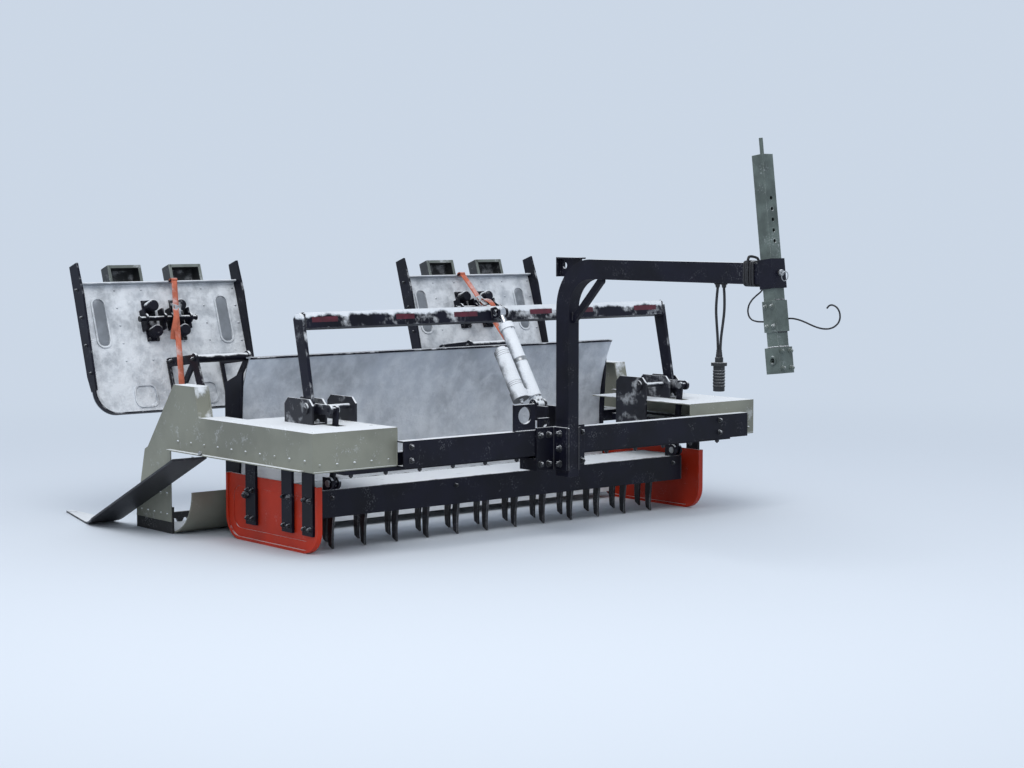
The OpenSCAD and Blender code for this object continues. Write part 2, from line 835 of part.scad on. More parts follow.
module actuator_barrel() {
    top = act_len - 60;
    color(zinc) actuator_rest() difference() {
        union() {
            upright(-16, 32) circle(22);
            translate([-20, -16, 0]) cube([40, 32, 44]);
            translate([0, 0, 36]) cylinder(r = act_r, h = top - 36);
            translate([0, 0, top - 26]) cylinder(r = act_r + 4, h = 26);
            translate([-12, -act_r - 20, 38]) cube([24, 30, 30]);
        }
        translate([motor_x, motor_y, 30]) cylinder(r = motor_r + 4 + seam, h = 50);
        upright(-17, 34) circle(pin_r + pin_gap);
        translate([0, 0, 60]) cylinder(r = rod_r + seam, h = act_len);
    }
}

// The motor lies beside the tube, on a gear case
module actuator_motor() {
    color([0.2, 0.2, 0.21]) actuator_rest() translate([motor_x, motor_y, 34]) {
        cylinder(r = motor_r + 4, h = 36);
        translate([0, 0, 36]) cylinder(r = motor_r, h = motor_len);
        translate([0, 0, 36 + motor_len]) cylinder(r = motor_r - 9, h = 12);
    }
}

module actuator_rod() {
    color([0.75, 0.76, 0.78]) actuator_rest() {
        translate([0, 0, 64]) cylinder(r = rod_r, h = act_len - 64 - 12);
        upright(-15, 30) translate([0, act_len]) circle(20);
        cross_pin(0, act_len, pin_r, -30, 30);
    }
}

// Knife bed

// An upside-down tray of plate, closed at its ends, that carries both rows
module knife_bed() {
    back = bed_front - bed_d;
    color(black) {
        difference() {
            translate([back, -bed_half, bed_z]) cube([bed_d, 2 * bed_half, bed_h]);
            translate([back + bed_t, -bed_half + bed_t, bed_z - 1])
                cube([bed_d - 2 * bed_t, 2 * (bed_half - bed_t), bed_h - bed_t + 1]);
        }
        for (x = [0, -row_gap])
            tube_y(x - tube / 2, bed_t - bed_half, bed_half - bed_t, bed_z + bed_h - bed_t - tube, tube,
                tube_wall);
        both_sides() for (y = [link_y - 24, link_y + 8]) upright(y, 10) difference() {
            union() {
                translate([bed_ear_x - 40, bed_z + bed_h]) square([30, 50]);
                translate([bed_ear_x - 40, bed_z + bed_h]) square([bed_front - bed_ear_x + 40, 20]);
                translate([bed_ear_x, bed_ear_z]) circle(24);
            }
            translate([bed_ear_x, bed_ear_z]) circle(pin_r + 4);
            translate([bed_front, bed_z]) square([60, bed_h]);
        }
    }
}

// Trailing arms from the bed back to its hinge on the skids
module bed_arms() {
    color(black) both_sides() {
        upright(bed_half - 12, 12) difference() {
            round_bar([bed_hinge_x, bed_hinge_z], [bed_front - bed_d, bed_hinge_z], 28);
            translate([bed_hinge_x, bed_hinge_z]) circle(pin_r + pin_gap);
            translate([bed_front - bed_d, bed_z]) square([80, bed_h]);
        }
    }
}

// A knife drawn in X and Z with its tip at zero height: raked, hollow in front, with a chisel tip
module knife_outline() {
    top = bed_h - bed_t - tube + knife_len;
    rake = 14;
    n = 8;
    front = [for (i = [0 : n]) let (f = i / n)
        [rake * f + knife_w / 2 - 9 * sin(180 * f) * (1 - f), top * f]];
    back = [for (i = [n : -1 : 0]) let (f = i / n)
        [rake * f - knife_w / 2 + 14 * pow(1 - f, 3), top * f + 12 * pow(1 - f, 3)]];
    polygon(concat(front, back));
}

module knife_row(x, shift) {
    y0 = -(knife_n - 1) * knife_pitch / 2 + shift;
    color(black) for (i = [0 : knife_n - 1])
        translate([x, y0 + i * knife_pitch, bed_z - knife_len])
            upright(-knife_t / 2, knife_t) knife_outline();
}

module front_knives() {
    knife_row(0, -knife_pitch / 4);
}

module rear_knives() {
    knife_row(-row_gap, knife_pitch / 4);
}

// Track trays, drawn down on the ground and then folded up about their hinges

module folded(side) {
    on_side(side) translate([tray_hinge_x, 0, tray_hinge_z]) rotate([0, tray_up, 0])
        translate([-tray_hinge_x, 0, -tray_hinge_z]) translate([0, tray_y, 0]) children();
}

// Plan of a tray, with its two nose corners rounded
module tray_plan(inset) {
    w = tray_w - 2 * inset;
    r = tray_r - inset;
    intersection() {
        translate([tray_nose - inset - 2 * tray_len, -w / 2]) round_rect(2 * tray_len, w, r);
        translate([tray_tail, -w / 2]) square([tray_len, w]);
    }
}

// A raised bead pressed round a rounded field of the tray's sheet
module tray_bead(x, y, l, w) {
    bead = 8;
    translate([x, y - w / 2, tray_z]) linear_extrude(5) difference() {
        round_rect(l, w, 32);
        translate([bead, bead]) round_rect(l - 2 * bead, w - 2 * bead, 32 - bead);
    }
}

// The two upright bars along a tray's sides
module rail_bars() {
    front = tray_nose - tray_r - 10;
    back = tray_tail - mould_over;
    for (y = [-tray_w / 2, tray_w / 2 - rail_t]) upright(y, rail_t) polygon([
        [front, tray_z - 10], [front, tray_z + 30], [tray_tail + 60, tray_z + 58],
        [back, tray_z + 50], [back, tray_z - 14], [front - 70, tray_z - 24]]);
}

// A tray's sheet with its rear lip and pressed beads
module tray(side) {
    color(zinc) folded(side) {
        difference() {
            translate([0, 0, tray_z - tray_t]) linear_extrude(tray_t) tray_plan(0);
            rail_bars();
        }
        translate([tray_tail, -tray_w / 2 + rail_t, tray_z]) cube([6, tray_w - 2 * rail_t, 22]);
        for (m = [-1, 1]) {
            tray_bead(tray_tail + 60, m * (tray_w / 2 - 95), 220, 70);
            tray_bead(tray_nose - 125, m * mould_gap / 2, 100, 110);
        }
    }
}

// The side bars and the thin rim that runs round the tray's nose
module tray_rails(side) {
    color(black) folded(side) {
        difference() {
            translate([0, 0, tray_z]) linear_extrude(rim_h) tray_plan(0);
            translate([0, 0, tray_z]) linear_extrude(rim_h + 1) tray_plan(5);
            translate([tray_tail - 1, -tray_w / 2, tray_z]) cube([80, tray_w, 2 * rim_h]);
        }
        rail_bars();
    }
}

// Two troughs under the tray that press the ski tracks; past the tray they are closed on top
module moulds(side) {
    wall = 5;
    front = tray_nose - 180;
    back = tray_tail - mould_over;
    under = tray_z - tray_t - seam;
    lid = tray_z + 8;
    color([0.33, 0.37, 0.36]) folded(side) for (m = [-1, 1]) {
        y = m * mould_gap / 2 - mould_w / 2;
        difference() {
            upright(y, mould_w) polygon([[front + 90, under], [front, 0], [back, 0], [back, lid],
                [tray_tail - seam, lid], [tray_tail - seam, under]]);
            upright(y + wall, mould_w - 2 * wall) polygon([
                [front - 20, lid + 20], [front - 20, wall], [back - 1, wall], [back - 1, lid - wall],
                [tray_tail - seam, lid - wall], [tray_tail - seam, lid + 20]]);
        }
    }
}

// Side plates that carry the tray from its hinge, with a cross tube and a stay
module tray_arms(side) {
    leg = tray_nose - 170;
    brow = tray_z + 215;
    color(black) folded(side) {
        for (y = arm_y) upright(y - arm_t / 2, arm_t) difference() {
            union() {
                round_bar([tray_hinge_x, tray_hinge_z], [leg, brow], 24);
                round_bar([leg, brow], [leg - 40, tray_z + 20], 20);
                round_bar([leg + 10, brow - 10], [tray_nose - 40, tray_z + 20], 15);
                translate([leg - 60, tray_z]) square([160, 16]);
            }
            translate([tray_hinge_x, tray_hinge_z]) circle(pin_r + pin_gap);
            translate([leg - 100, 0]) square([400, tray_z]);
        }
        translate([leg, arm_y[0] + arm_t / 2, brow]) rotate([-90, 0, 0])
            cylinder(r = 17, h = arm_y[1] - arm_y[0] - arm_t);
    }
}

// A coil spring as a stack of round turns on a core
module coil(turns, wire, r) {
    rotate_extrude() {
        square([r + 1, 2 * turns * wire]);
        for (i = [0 : turns - 1]) translate([r, wire + 2 * wire * i]) circle(wire);
    }
}

// The spring seat: ears with a cross pin, and two feet that carry a pair of coil springs each
module tray_mount(side) {
    w = 270;
    ear = 8;
    foot = 56;
    color(black) folded(side) {
        for (y = [-w / 2 + 24, -22, 14, w / 2 - 32]) upright(y, ear) {
            translate([mount_x - 46, tray_z]) square([92, 40]);
            translate([mount_x, tray_z + 40]) circle(22);
        }
        cross_pin(mount_x, tray_z + 40, pin_r, -w / 2, w / 2);
        for (y = [-w / 4, w / 4]) {
            translate([mount_x - 90, y - foot / 2, tray_z]) cube([180, foot, 8]);
            for (x = [-56, 56]) translate([mount_x + x, y, tray_z + 8]) coil(5, 5, 20);
        }
    }
}

// A flat strap from the tray's lip down to a hook beside the hinge
module strap(side) {
    a = [tray_tail + 3, -60, tray_z + 46];
    b = strap_foot + [tray_hinge_x, 0, tray_hinge_z];
    d = b - a;
    color(orange) folded(side) {
        translate(a) rotate([0, 0, atan2(d[1], d[0])])
            rotate([0, -atan2(d[2], norm([d[0], d[1]])), 0]) translate([0, -14, 0]) cube([norm(d), 28, 4]);
        translate([tray_tail, a[1] - 18, tray_z + 22]) cube([6, 36, 30]);
    }
}

// Ears behind the rear tube: two pairs for each tray's arms and one pair with its strap between them
module tray_hinge_ears() {
    strap_y = tray_y + strap_foot[1];
    color(black) both_sides() for (y = [strap_y - 36, strap_y + 22])
        upright(y, 6) difference() {
            round_bar([tray_hinge_x + 40, deck_z + tube / 2], [tray_hinge_x - 30, deck_z + tube / 2], 22);
            translate([tray_hinge_x + 40, deck_z - tube]) square([tube, 3 * tube]);
        }
    color(black) both_sides() for (y = arm_y)
        for (e = [-arm_t / 2 - 13, arm_t / 2 + 3]) upright(tray_y + y + e, 10) difference() {
            union() {
                round_bar([tray_hinge_x, tray_hinge_z], [tray_hinge_x + 30, tray_hinge_z], 26);
                translate([tray_hinge_x + 10, deck_z]) square([30, tube]);
            }
            translate([tray_hinge_x, tray_hinge_z]) circle(pin_r);
            translate([tray_hinge_x + 40, 200]) square([100, 300]);
        }
    half = arm_t / 2 + 18;
    color(black) both_sides() for (y = arm_y)
        cross_pin(tray_hinge_x, tray_hinge_z, pin_r, tray_y + y - half, tray_y + y + half);
}

// Cords

// A tube swept along a path of points: each ring of n points stands square to the path
function along(path, i) = let (
    a = path[max(i - 1, 0)], b = path[min(i + 1, len(path) - 1)], d = b - a) d / norm(d);
function ring(c, t, r, n) = let (
    side = cross(t, [0, 1, 0.2]), u = side / norm(side), v = cross(t, u))
    [for (k = [0 : n - 1]) c + r * (cos(360 * k / n) * u + sin(360 * k / n) * v)];

module cord(path, r, n = 8) {
    m = len(path);
    polyhedron(
        points = [for (i = [0 : m - 1]) each ring(path[i], along(path, i), r, n)],
        faces = concat(
            [[for (k = [0 : n - 1]) k]],
            [for (i = [0 : m - 2], k = [0 : n - 1])
                [i * n + k, (i + 1) * n + k, (i + 1) * n + (k + 1) % n, i * n + (k + 1) % n]],
            [[for (k = [n - 1 : -1 : 0]) (m - 1) * n + k]]));
}

module control_lead_rear() {
    color(black) cord(lead_a, lead_r);
}

module control_lead_front() {
    color(black) cord(lead_b, lead_r);
}

module lead_plug() {
    a = lead_a[len(lead_a) - 1];
    b = lead_b[len(lead_b) - 1];
    color(black) translate([(a[0] + b[0]) / 2, 0, a[2] - 122]) {
        cylinder(r = 21, h = 96);
        translate([0, 0, 92]) cylinder(r = 29, h = 12);
        translate([0, 0, 104]) cylinder(r = 15, h = 18);
    }
}

module tail_wire() {
    color(black) cord(wire_path, wire_r);
}

front_tube();
front_bar();
cross_beam();
side_rails();
rear_tube();
side_panel(-1);  // side_panel_right
side_panel(1);  // side_panel_left
tail_skirts();
side_wings();
skids();
skid_brackets();
blade();
blade_ribs();
finishing_pan();
comb();
neck();
neck_brace();
neck_base();
neck_tab();
hitch_sleeve();
tow_lug();
actuator_foot();
pivot_brackets();
tray_hinge_ears();
hitch_mast();
hitch_coupler();
hoop();
hoop_cranks();
hoop_clevis();
drop_links();
actuator_barrel();
actuator_motor();
actuator_rod();
knife_bed();
bed_arms();
front_knives();
rear_knives();
tray(-1);  // tray_right
tray_rails(-1);  // tray_rails_right
moulds(-1);  // moulds_right
tray_arms(-1);  // tray_arms_right
tray_mount(-1);  // tray_mount_right
strap(-1);  // strap_right
tray(1);  // tray_left
tray_rails(1);  // tray_rails_left
moulds(1);  // moulds_left
tray_arms(1);  // tray_arms_left
tray_mount(1);  // tray_mount_left
strap(1);  // strap_left
control_lead_rear();
control_lead_front();
lead_plug();
tail_wire();
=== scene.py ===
"""Looks of a towed ski-trail groomer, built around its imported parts. Metres, X forward, Y left, Z up."""

import bmesh
import bpy
import numpy as np
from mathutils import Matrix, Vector


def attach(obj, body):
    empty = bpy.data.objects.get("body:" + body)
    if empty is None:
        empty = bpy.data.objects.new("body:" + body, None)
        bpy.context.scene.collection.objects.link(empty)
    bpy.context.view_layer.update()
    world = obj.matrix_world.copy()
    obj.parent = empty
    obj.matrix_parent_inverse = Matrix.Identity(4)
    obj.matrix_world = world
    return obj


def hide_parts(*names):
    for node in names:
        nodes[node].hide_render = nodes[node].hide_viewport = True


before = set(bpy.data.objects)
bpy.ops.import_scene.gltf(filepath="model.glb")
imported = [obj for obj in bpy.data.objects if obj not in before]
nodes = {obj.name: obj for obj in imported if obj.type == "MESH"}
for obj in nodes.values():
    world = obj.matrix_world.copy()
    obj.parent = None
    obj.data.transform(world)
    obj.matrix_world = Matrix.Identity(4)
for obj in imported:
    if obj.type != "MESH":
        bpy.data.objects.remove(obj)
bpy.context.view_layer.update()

# Camera
# It stands at eye height in front of the machine's right front corner, where the picture was
# taken from, and is turned so that the machine fills the frame.
def placed(name, data):
    """A new object that holds the data, linked into the scene."""
    made = bpy.data.objects.new(name, data)
    bpy.context.scene.collection.objects.link(made)
    return made


def aimed(thing, place, target):
    """A camera or lamp goes to a place and is turned to look at a target."""
    thing.location = place
    thing.rotation_euler = (Vector(target) - thing.location).to_track_quat("-Z", "Y").to_euler()


camera_data = bpy.data.cameras.new("camera")
camera_data.sensor_width = 36
camera_data.lens = 73
camera = placed("camera", camera_data)
aimed(camera, (6.53, -5.38, 1.26), (0.10, -0.05, 0.60))
bpy.context.scene.camera = camera


# Cords
# Two strands of the actuator's control lead hang from the level arm to a heavy plug, and a
# stiff coated wire leaves the arm beside the mast and curls forward to a bare end. They are
# the first pieces, so the weathered finish that the whole machine shares is defined here.
def add_node(material, kind, values=None, **settings):
    """One shader node of a kind; values maps a socket's name or number to a number, a colour or another
    socket."""
    made = material.node_tree.nodes.new("ShaderNode" + kind)
    for key, value in settings.items():
        setattr(made, key, value)
    for key, value in (values or {}).items():
        if isinstance(value, bpy.types.NodeSocket):
            material.node_tree.links.new(value, made.inputs[key])
        else:
            made.inputs[key].default_value = value
    return made


def mixed(material, share, low, high):
    """Colour that goes from low to high as share goes from 0 to 1."""
    return add_node(material, "Mix", {0: share, 6: low, 7: high}, data_type="RGBA").outputs[2]


def spread(material, value, low, high, to_low=0.0, to_high=1.0):
    """Value carried smoothly from the span low to high into the span to_low to to_high."""
    return add_node(material, "MapRange", {0: value, 1: low, 2: high, 3: to_low, 4: to_high},
                    interpolation_type="SMOOTHSTEP").outputs[0]


def sums(material, operation, *values):
    """The values taken together, from the first to the last, by one arithmetic operation."""
    total = values[0]
    for value in values[1:]:
        total = add_node(material, "Math", {0: total, 1: value}, operation=operation).outputs[0]
    return total


FROST = (0.84, 0.88, 0.93, 1)


def weathered(name, paint, worn, roughness, metallic=0.0, mottle=0.25, mottle_scale=7.0, wear=0.6,
              frost=(0.55, 0.95), frost_share=0.95, grain=0.08, round_edge=0.002, specks=0.35,
              snow_line=None, specular=0.5):
    """Paint that varies with a slow noise, worn where the rounded normal leaves the flat one. Frost lies
    where the object's own normal points up by more than a threshold that a noise moves about, above a line
    at a height if one is given, and in specks where a fine noise passes a second threshold."""
    material = bpy.data.materials.new(name)
    material.use_nodes = True
    bsdf = material.node_tree.nodes["Principled BSDF"]
    bsdf.inputs["Specular IOR Level"].default_value = specular
    place = add_node(material, "TexCoord")
    at = place.outputs["Object"]
    slow, fine, drift = [
        add_node(material, "TexNoise",
                 {"Vector": at, "Scale": scale, "Detail": detail, "Roughness": uneven}).outputs[0]
        for scale, detail, uneven in ((mottle_scale, 5.0, 0.5), (150.0, 4.0, 0.5), (13.0, 6.0, 0.62))]
    dark, light = [tuple(min(1, c * (1 + way * mottle)) for c in paint) + (1,) for way in (-1, 1)]
    colour = mixed(material, spread(material, slow, 0.3, 0.7), dark, light)
    rounded = add_node(material, "Bevel", {"Radius": round_edge}, samples=4).outputs[0]
    flat = add_node(material, "NewGeometry").outputs["Normal"]
    turn = add_node(material, "VectorMath", {0: rounded, 1: flat}, operation="DOT_PRODUCT")
    edge = spread(material, turn.outputs["Value"], 0.995, 0.93)
    rub = sums(material, "MULTIPLY", edge, spread(material, drift, 0.42, 0.60), wear)
    colour = mixed(material, rub, colour, worn + (1,))
    up = add_node(material, "SeparateXYZ", {0: place.outputs["Normal"]}).outputs[2]
    tipped = sums(material, "ADD", up, spread(material, drift, 0.25, 0.75, -0.35, 0.35))
    lying = spread(material, tipped, *frost)
    if snow_line:
        height = add_node(material, "SeparateXYZ", {0: at}).outputs[2]
        ragged = sums(material, "ADD", height, spread(material, drift, 0.25, 0.75, -0.012, 0.012))
        lying = sums(material, "MAXIMUM", lying, spread(material, ragged, *snow_line))
    lying = sums(material, "MULTIPLY", lying, frost_share)
    rime = [spread(material, drift, 0.52, 0.70), spread(material, fine, 0.52, 0.66)]
    cling = sums(material, "MULTIPLY", *rime, spread(material, up, -0.6, 0.1), specks)
    cover = sums(material, "MAXIMUM", lying, cling)
    colour = mixed(material, cover, colour, FROST)
    shine = sums(material, "ADD", roughness - 0.08, sums(material, "MULTIPLY", slow, 0.16))
    rough = add_node(material, "Mix", {0: cover, 2: shine, 3: 0.9}).outputs[0]
    lumps = sums(material, "ADD", fine, sums(material, "MULTIPLY", drift, 1.6))
    relief = sums(material, "ADD", sums(material, "MULTIPLY", fine, grain),
                  sums(material, "MULTIPLY", cover, 0.9), sums(material, "MULTIPLY", cover, lumps))
    bump = add_node(material, "Bump",
                    {"Strength": 0.5, "Distance": 0.005, "Height": relief, "Normal": rounded})
    made = {"Base Color": colour, "Roughness": rough, "Normal": bump.outputs[0]}
    if metallic:
        made["Metallic"] = sums(material, "MULTIPLY", sums(material, "SUBTRACT", 1.0, cover), metallic)
    for key, value in made.items():
        material.node_tree.links.new(value, bsdf.inputs[key])
    return material


def dress(material, *names):
    """The material goes onto CAD nodes."""
    for name in names:
        nodes[name].data.materials.clear()
        nodes[name].data.materials.append(material)


cable_sheath = weathered("cable_sheath", (0.012, 0.012, 0.015), (0.05, 0.05, 0.05), 0.55, wear=0.2,
                         frost=(0.8, 1.2), frost_share=0.6, grain=0.03, round_edge=0.0005, specks=0.1)
LEAD_WIDTH = 0.010
WIRE_WIDTH = 0.006
lead_rear_route = np.array([
    [1208, 0, 1032], [1208, 0, 1015], [1205, 0, 990], [1202, 0, 960], [1201, 0, 930], [1203, 0, 900],
    [1206, 0, 870], [1209, 0, 840], [1211, 0, 810], [1212, 0, 785], [1212, 0, 762]]) / 1000
lead_front_route = np.array([
    [1240, 0, 1032], [1240, 0, 1015], [1242, 0, 990], [1243, 0, 960], [1242, 0, 930], [1238, 0, 900],
    [1233, 0, 870], [1228, 0, 840], [1225, 0, 810], [1224, 0, 785], [1224, 0, 762]]) / 1000
wire_route = np.array([
    [1418, 26, 1058], [1418, 33, 1058], [1416, 38, 1049], [1406, 39, 1028], [1388, 38, 1006],
    [1362, 38, 988], [1340, 38, 970], [1326, 38, 948], [1325, 38, 924], [1338, 38, 906],
    [1362, 39, 898], [1392, 40, 897], [1425, 41, 899], [1460, 42, 904], [1495, 42, 910],
    [1530, 42, 914], [1565, 40, 911], [1600, 36, 904], [1635, 31, 895], [1670, 25, 888],
    [1705, 19, 885], [1738, 13, 888], [1766, 8, 898], [1786, 4, 915], [1793, 0, 936],
    [1787, -3, 956], [1769, -4, 968], [1749, -3, 968], [1734, 0, 958]]) / 1000


# Plug and grommets
# A moulded plug of black plastic with grip ribs. Each strand runs into it, and out of the
# arm, through a tapered rubber sleeve, and the wire has nothing on its end.
plug_plastic = weathered("plug_plastic", (0.010, 0.011, 0.013), (0.08, 0.08, 0.08), 0.5, wear=0.3,
                         frost_share=0.75, grain=0.05, specks=0.1)
dress(plug_plastic, "lead_plug")


def quads(count, columns):
    """Faces of a grid of points, count rows of so many columns, closed around its columns."""
    row, column = np.meshgrid(np.arange(count - 1), np.arange(columns), indexing="ij")
    beside = (column + 1) % columns
    return np.stack([row * columns + column, row * columns + beside,
                     (row + 1) * columns + beside, (row + 1) * columns + column], -1).reshape(-1, 4)


def joined(parts):
    """Points and faces of several parts as one, with each part's faces shifted past the points before it."""
    starts = np.cumsum([0] + [len(points) for points, _ in parts[:-1]])
    return (np.concatenate([points for points, _ in parts]),
            np.concatenate([faces + start for (_, faces), start in zip(parts, starts)]))


def unit(vectors):
    """Vectors of length one that point the same ways."""
    return vectors / np.linalg.norm(vectors, axis=-1, keepdims=True)


def turned(profile, at, axis, sides):
    """A lathe shape at each of the places: at + h axis + r (u cos t + v sin t), for each (r, h) of the
    profile and for t in equal steps, where u and v are square to the axis."""
    profile, at, axis = np.asarray(profile, float), np.atleast_2d(at).astype(float), unit(axis)
    u = unit(np.cross(axis, [0, 0, 1] if abs(axis[2]) < 0.9 else [1, 0, 0]))
    v = np.cross(axis, u)
    t = np.arange(sides) * 2 * np.pi / sides
    ring = np.cos(t)[:, None] * u + np.sin(t)[:, None] * v
    one = profile[:, 1, None, None] * axis + profile[:, 0, None, None] * ring
    points = (at[:, None, None, :] + one[None]).reshape(-1, 3)
    faces = quads(len(profile), sides)
    shift = np.arange(len(at))[:, None, None] * (len(profile) * sides)
    return points, (faces[None] + shift).reshape(-1, 4)


def piece(name, shape, material, body, slot, smooth=40.0, weave=None):
    """A mesh from a pair of points and faces, with a map of u and v for each point if weave gives one:
    doubles are merged, normals face outwards, edges sharper than smooth degrees stay crisp, and it rides."""
    mesh = bpy.data.meshes.new(name)
    mesh.from_pydata(shape[0].tolist(), [], shape[1].tolist())
    if weave is not None:
        corner = np.empty(len(mesh.loops), int)
        mesh.loops.foreach_get("vertex_index", corner)
        mesh.uv_layers.new(name="weave").data.foreach_set("uv", weave[corner].ravel())
    work = bmesh.new()
    work.from_mesh(mesh)
    bmesh.ops.remove_doubles(work, verts=work.verts, dist=1e-6)
    bmesh.ops.dissolve_degenerate(work, edges=work.edges, dist=1e-7)
    bmesh.ops.recalc_face_normals(work, faces=work.faces)
    work.to_mesh(mesh)
    work.free()
    mesh.polygons.foreach_set("use_smooth", [True] * len(mesh.polygons))
    mesh.set_sharp_from_angle(angle=np.radians(smooth))
    mesh.materials.append(material)
    made = placed(name, mesh)
    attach(made, body)
    return made


def places(x, y, z):
    """Every place whose x, y and z are among the values given, each a number or a row of numbers."""
    return np.stack(np.meshgrid(x, y, z, indexing="ij"), -1).reshape(-1, 3).astype(float)


plug_x = (lead_rear_route[-1, 0] + lead_front_route[-1, 0]) / 2
plug_foot = lead_rear_route[-1, 2] - 0.122
rib_at = places(plug_x, 0, plug_foot + 0.018 + 0.011 * np.arange(6))
rib = [(0.0205, -0.0028), (0.0228, -0.0018), (0.0228, 0.0018), (0.0205, 0.0028)]
cap = [(0.0, -0.0012), (0.017, -0.0012), (0.0212, 0.0), (0.0212, 0.004)]
grip = joined([turned(rib, rib_at, (0, 0, 1), 28), turned(cap, [plug_x, 0, plug_foot], (0, 0, 1), 28)])
plug_ribs = piece("plug_ribs", grip, plug_plastic, "frame", "plug_plastic")
relief = [(0.0, 0.0), (0.0088, 0.0), (0.0088, 0.006), (0.0074, 0.008), (0.0080, 0.014), (0.0066, 0.016),
          (0.0070, 0.022), (0.0058, 0.024), (0.0060, 0.032), (0.0, 0.032)]
grommet = [(0.0, 0.0), (0.013, 0.0), (0.013, -0.004), (0.009, -0.006), (0.0074, -0.016), (0.0, -0.016)]
lead_ends = np.array([lead_rear_route[-1], lead_front_route[-1]]) - [0, 0, 0.004]
lead_exits = [lead_rear_route[0], lead_front_route[0]]
sleeves = joined([turned(relief, lead_ends, (0, 0, 1), 18), turned(grommet, lead_exits, (0, 0, 1), 18)])
strain_reliefs = piece("strain_reliefs", sleeves, cable_sheath, "frame", "cable_sheath")


def cord_piece(name, route, width, node):
    """A round cord: a curve of one open spline through the route's points, with a bevel of half its width."""
    curve = bpy.data.curves.new(name, "CURVE")
    curve.dimensions = "3D"
    curve.bevel_depth = width / 2
    curve.bevel_resolution = 4
    curve.use_fill_caps = True
    curve.resolution_u = 6
    spline = curve.splines.new("BEZIER")
    spline.bezier_points.add(len(route) - 1)
    spline.bezier_points.foreach_set("co", route.ravel())
    for point in spline.bezier_points:
        point.handle_left_type = "AUTO"
        point.handle_right_type = "AUTO"
    curve.materials.append(cable_sheath)
    made = placed(name, curve)
    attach(made, "frame")
    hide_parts(node)


for place, route in (("rear", lead_rear_route), ("front", lead_front_route)):
    cord_piece(f"lead_strand_{place}", route, LEAD_WIDTH, f"control_lead_{place}")
cord_piece("break_wire", wire_route, WIRE_WIDTH, "tail_wire")

# Floor and light
# A pale studio floor that fades into an even pale surround, and one broad soft lamp over the
# front corner.
SURROUND = (0.60, 0.68, 0.79, 1)
floor_mesh = bpy.data.meshes.new("studio_floor")
reach = 60.0
corners = [(-reach, -reach, 0), (reach, -reach, 0), (reach, reach, 0), (-reach, reach, 0)]
floor_mesh.from_pydata(corners, [], [(0, 1, 2, 3)])
floor = placed("studio_floor", floor_mesh)
floor_pale = bpy.data.materials.new("floor_pale")
floor_pale.use_nodes = True
floor_bsdf = floor_pale.node_tree.nodes["Principled BSDF"]
for key, value in (("Base Color", (0.70, 0.76, 0.84, 1)), ("Roughness", 0.95), ("Specular IOR Level", 0.05)):
    floor_bsdf.inputs[key].default_value = value
away = add_node(floor_pale, "VectorMath",
                {0: add_node(floor_pale, "TexCoord").outputs["Object"]}, operation="LENGTH")
fade = sums(floor_pale, "MULTIPLY", spread(floor_pale, away.outputs["Value"], 2.2, 7.0),
            add_node(floor_pale, "LightPath").outputs["Is Camera Ray"])
glow = add_node(floor_pale, "Emission", {"Color": SURROUND, "Strength": 1.0})
floor_mix = add_node(floor_pale, "MixShader",
                     {0: fade, 1: floor_bsdf.outputs[0], 2: glow.outputs[0]})
floor_pale.node_tree.links.new(floor_mix.outputs[0], floor_pale.node_tree.nodes["Material Output"].inputs[0])
floor_mesh.materials.append(floor_pale)

world = bpy.data.worlds.new("surround")
bpy.context.scene.world = world
world.use_nodes = True
world.node_tree.nodes.clear()
ray = add_node(world, "LightPath").outputs
seen = sums(world, "MAXIMUM", ray["Is Camera Ray"], ray["Is Glossy Ray"], ray["Is Transmission Ray"])
sky = add_node(world, "Background", {"Color": (0.88, 0.93, 1.0, 1), "Strength": 0.80})
backdrop = add_node(world, "Background", {"Color": SURROUND, "Strength": 1.0})
either = add_node(world, "MixShader", {0: seen, 1: sky.outputs[0], 2: backdrop.outputs[0]})
add_node(world, "OutputWorld", {0: either.outputs[0]})

lamp_data = bpy.data.lights.new("soft_lamp", "AREA")
lamp_data.shape = "DISK"
lamp_data.size = 5.0
lamp_data.energy = 210
lamp_data.color = (1.0, 0.98, 0.95)
lamp = placed("soft_lamp", lamp_data)
aimed(lamp, (2.6, -2.9, 6.2), (0, 0, 0.4))
bpy.context.scene.view_settings.view_transform = "Standard"

# Frame
# Square tubes, a flat bar and a channel beam, welded and painted black, with a blue cast
# where the paint is clean. The clamp plates are bolted through the beam, and a ripple of weld
# runs along each joint that shows.
BLACK = {"paint": (0.0040, 0.0042, 0.0110), "worn": (0.06, 0.06, 0.07), "roughness": 0.48, "mottle": 0.40,
         "specular": 0.22}
black_paint = weathered("black_paint", **BLACK, frost=(0.40, 0.80), specks=0.09)
dress(black_paint, "front_tube", "front_bar", "cross_beam", "side_rails", "rear_tube")
bolt_zinc = weathered("bolt_zinc", (0.34, 0.35, 0.36), (0.55, 0.56, 0.57), 0.38, metallic=0.8, mottle=0.3,
                      mottle_scale=40.0, round_edge=0.0006, specks=0.5)
bolt_dark = weathered("bolt_dark", (0.016, 0.017, 0.021), (0.22, 0.22, 0.23), 0.42, metallic=0.3, wear=0.8,
                      mottle_scale=40.0, round_edge=0.0008, specks=0.15)
weld_black = weathered("weld_black", (0.010, 0.010, 0.015), (0.12, 0.10, 0.09), 0.40, wear=0.8, grain=0.2,
                       round_edge=0.0008, specks=0.1)


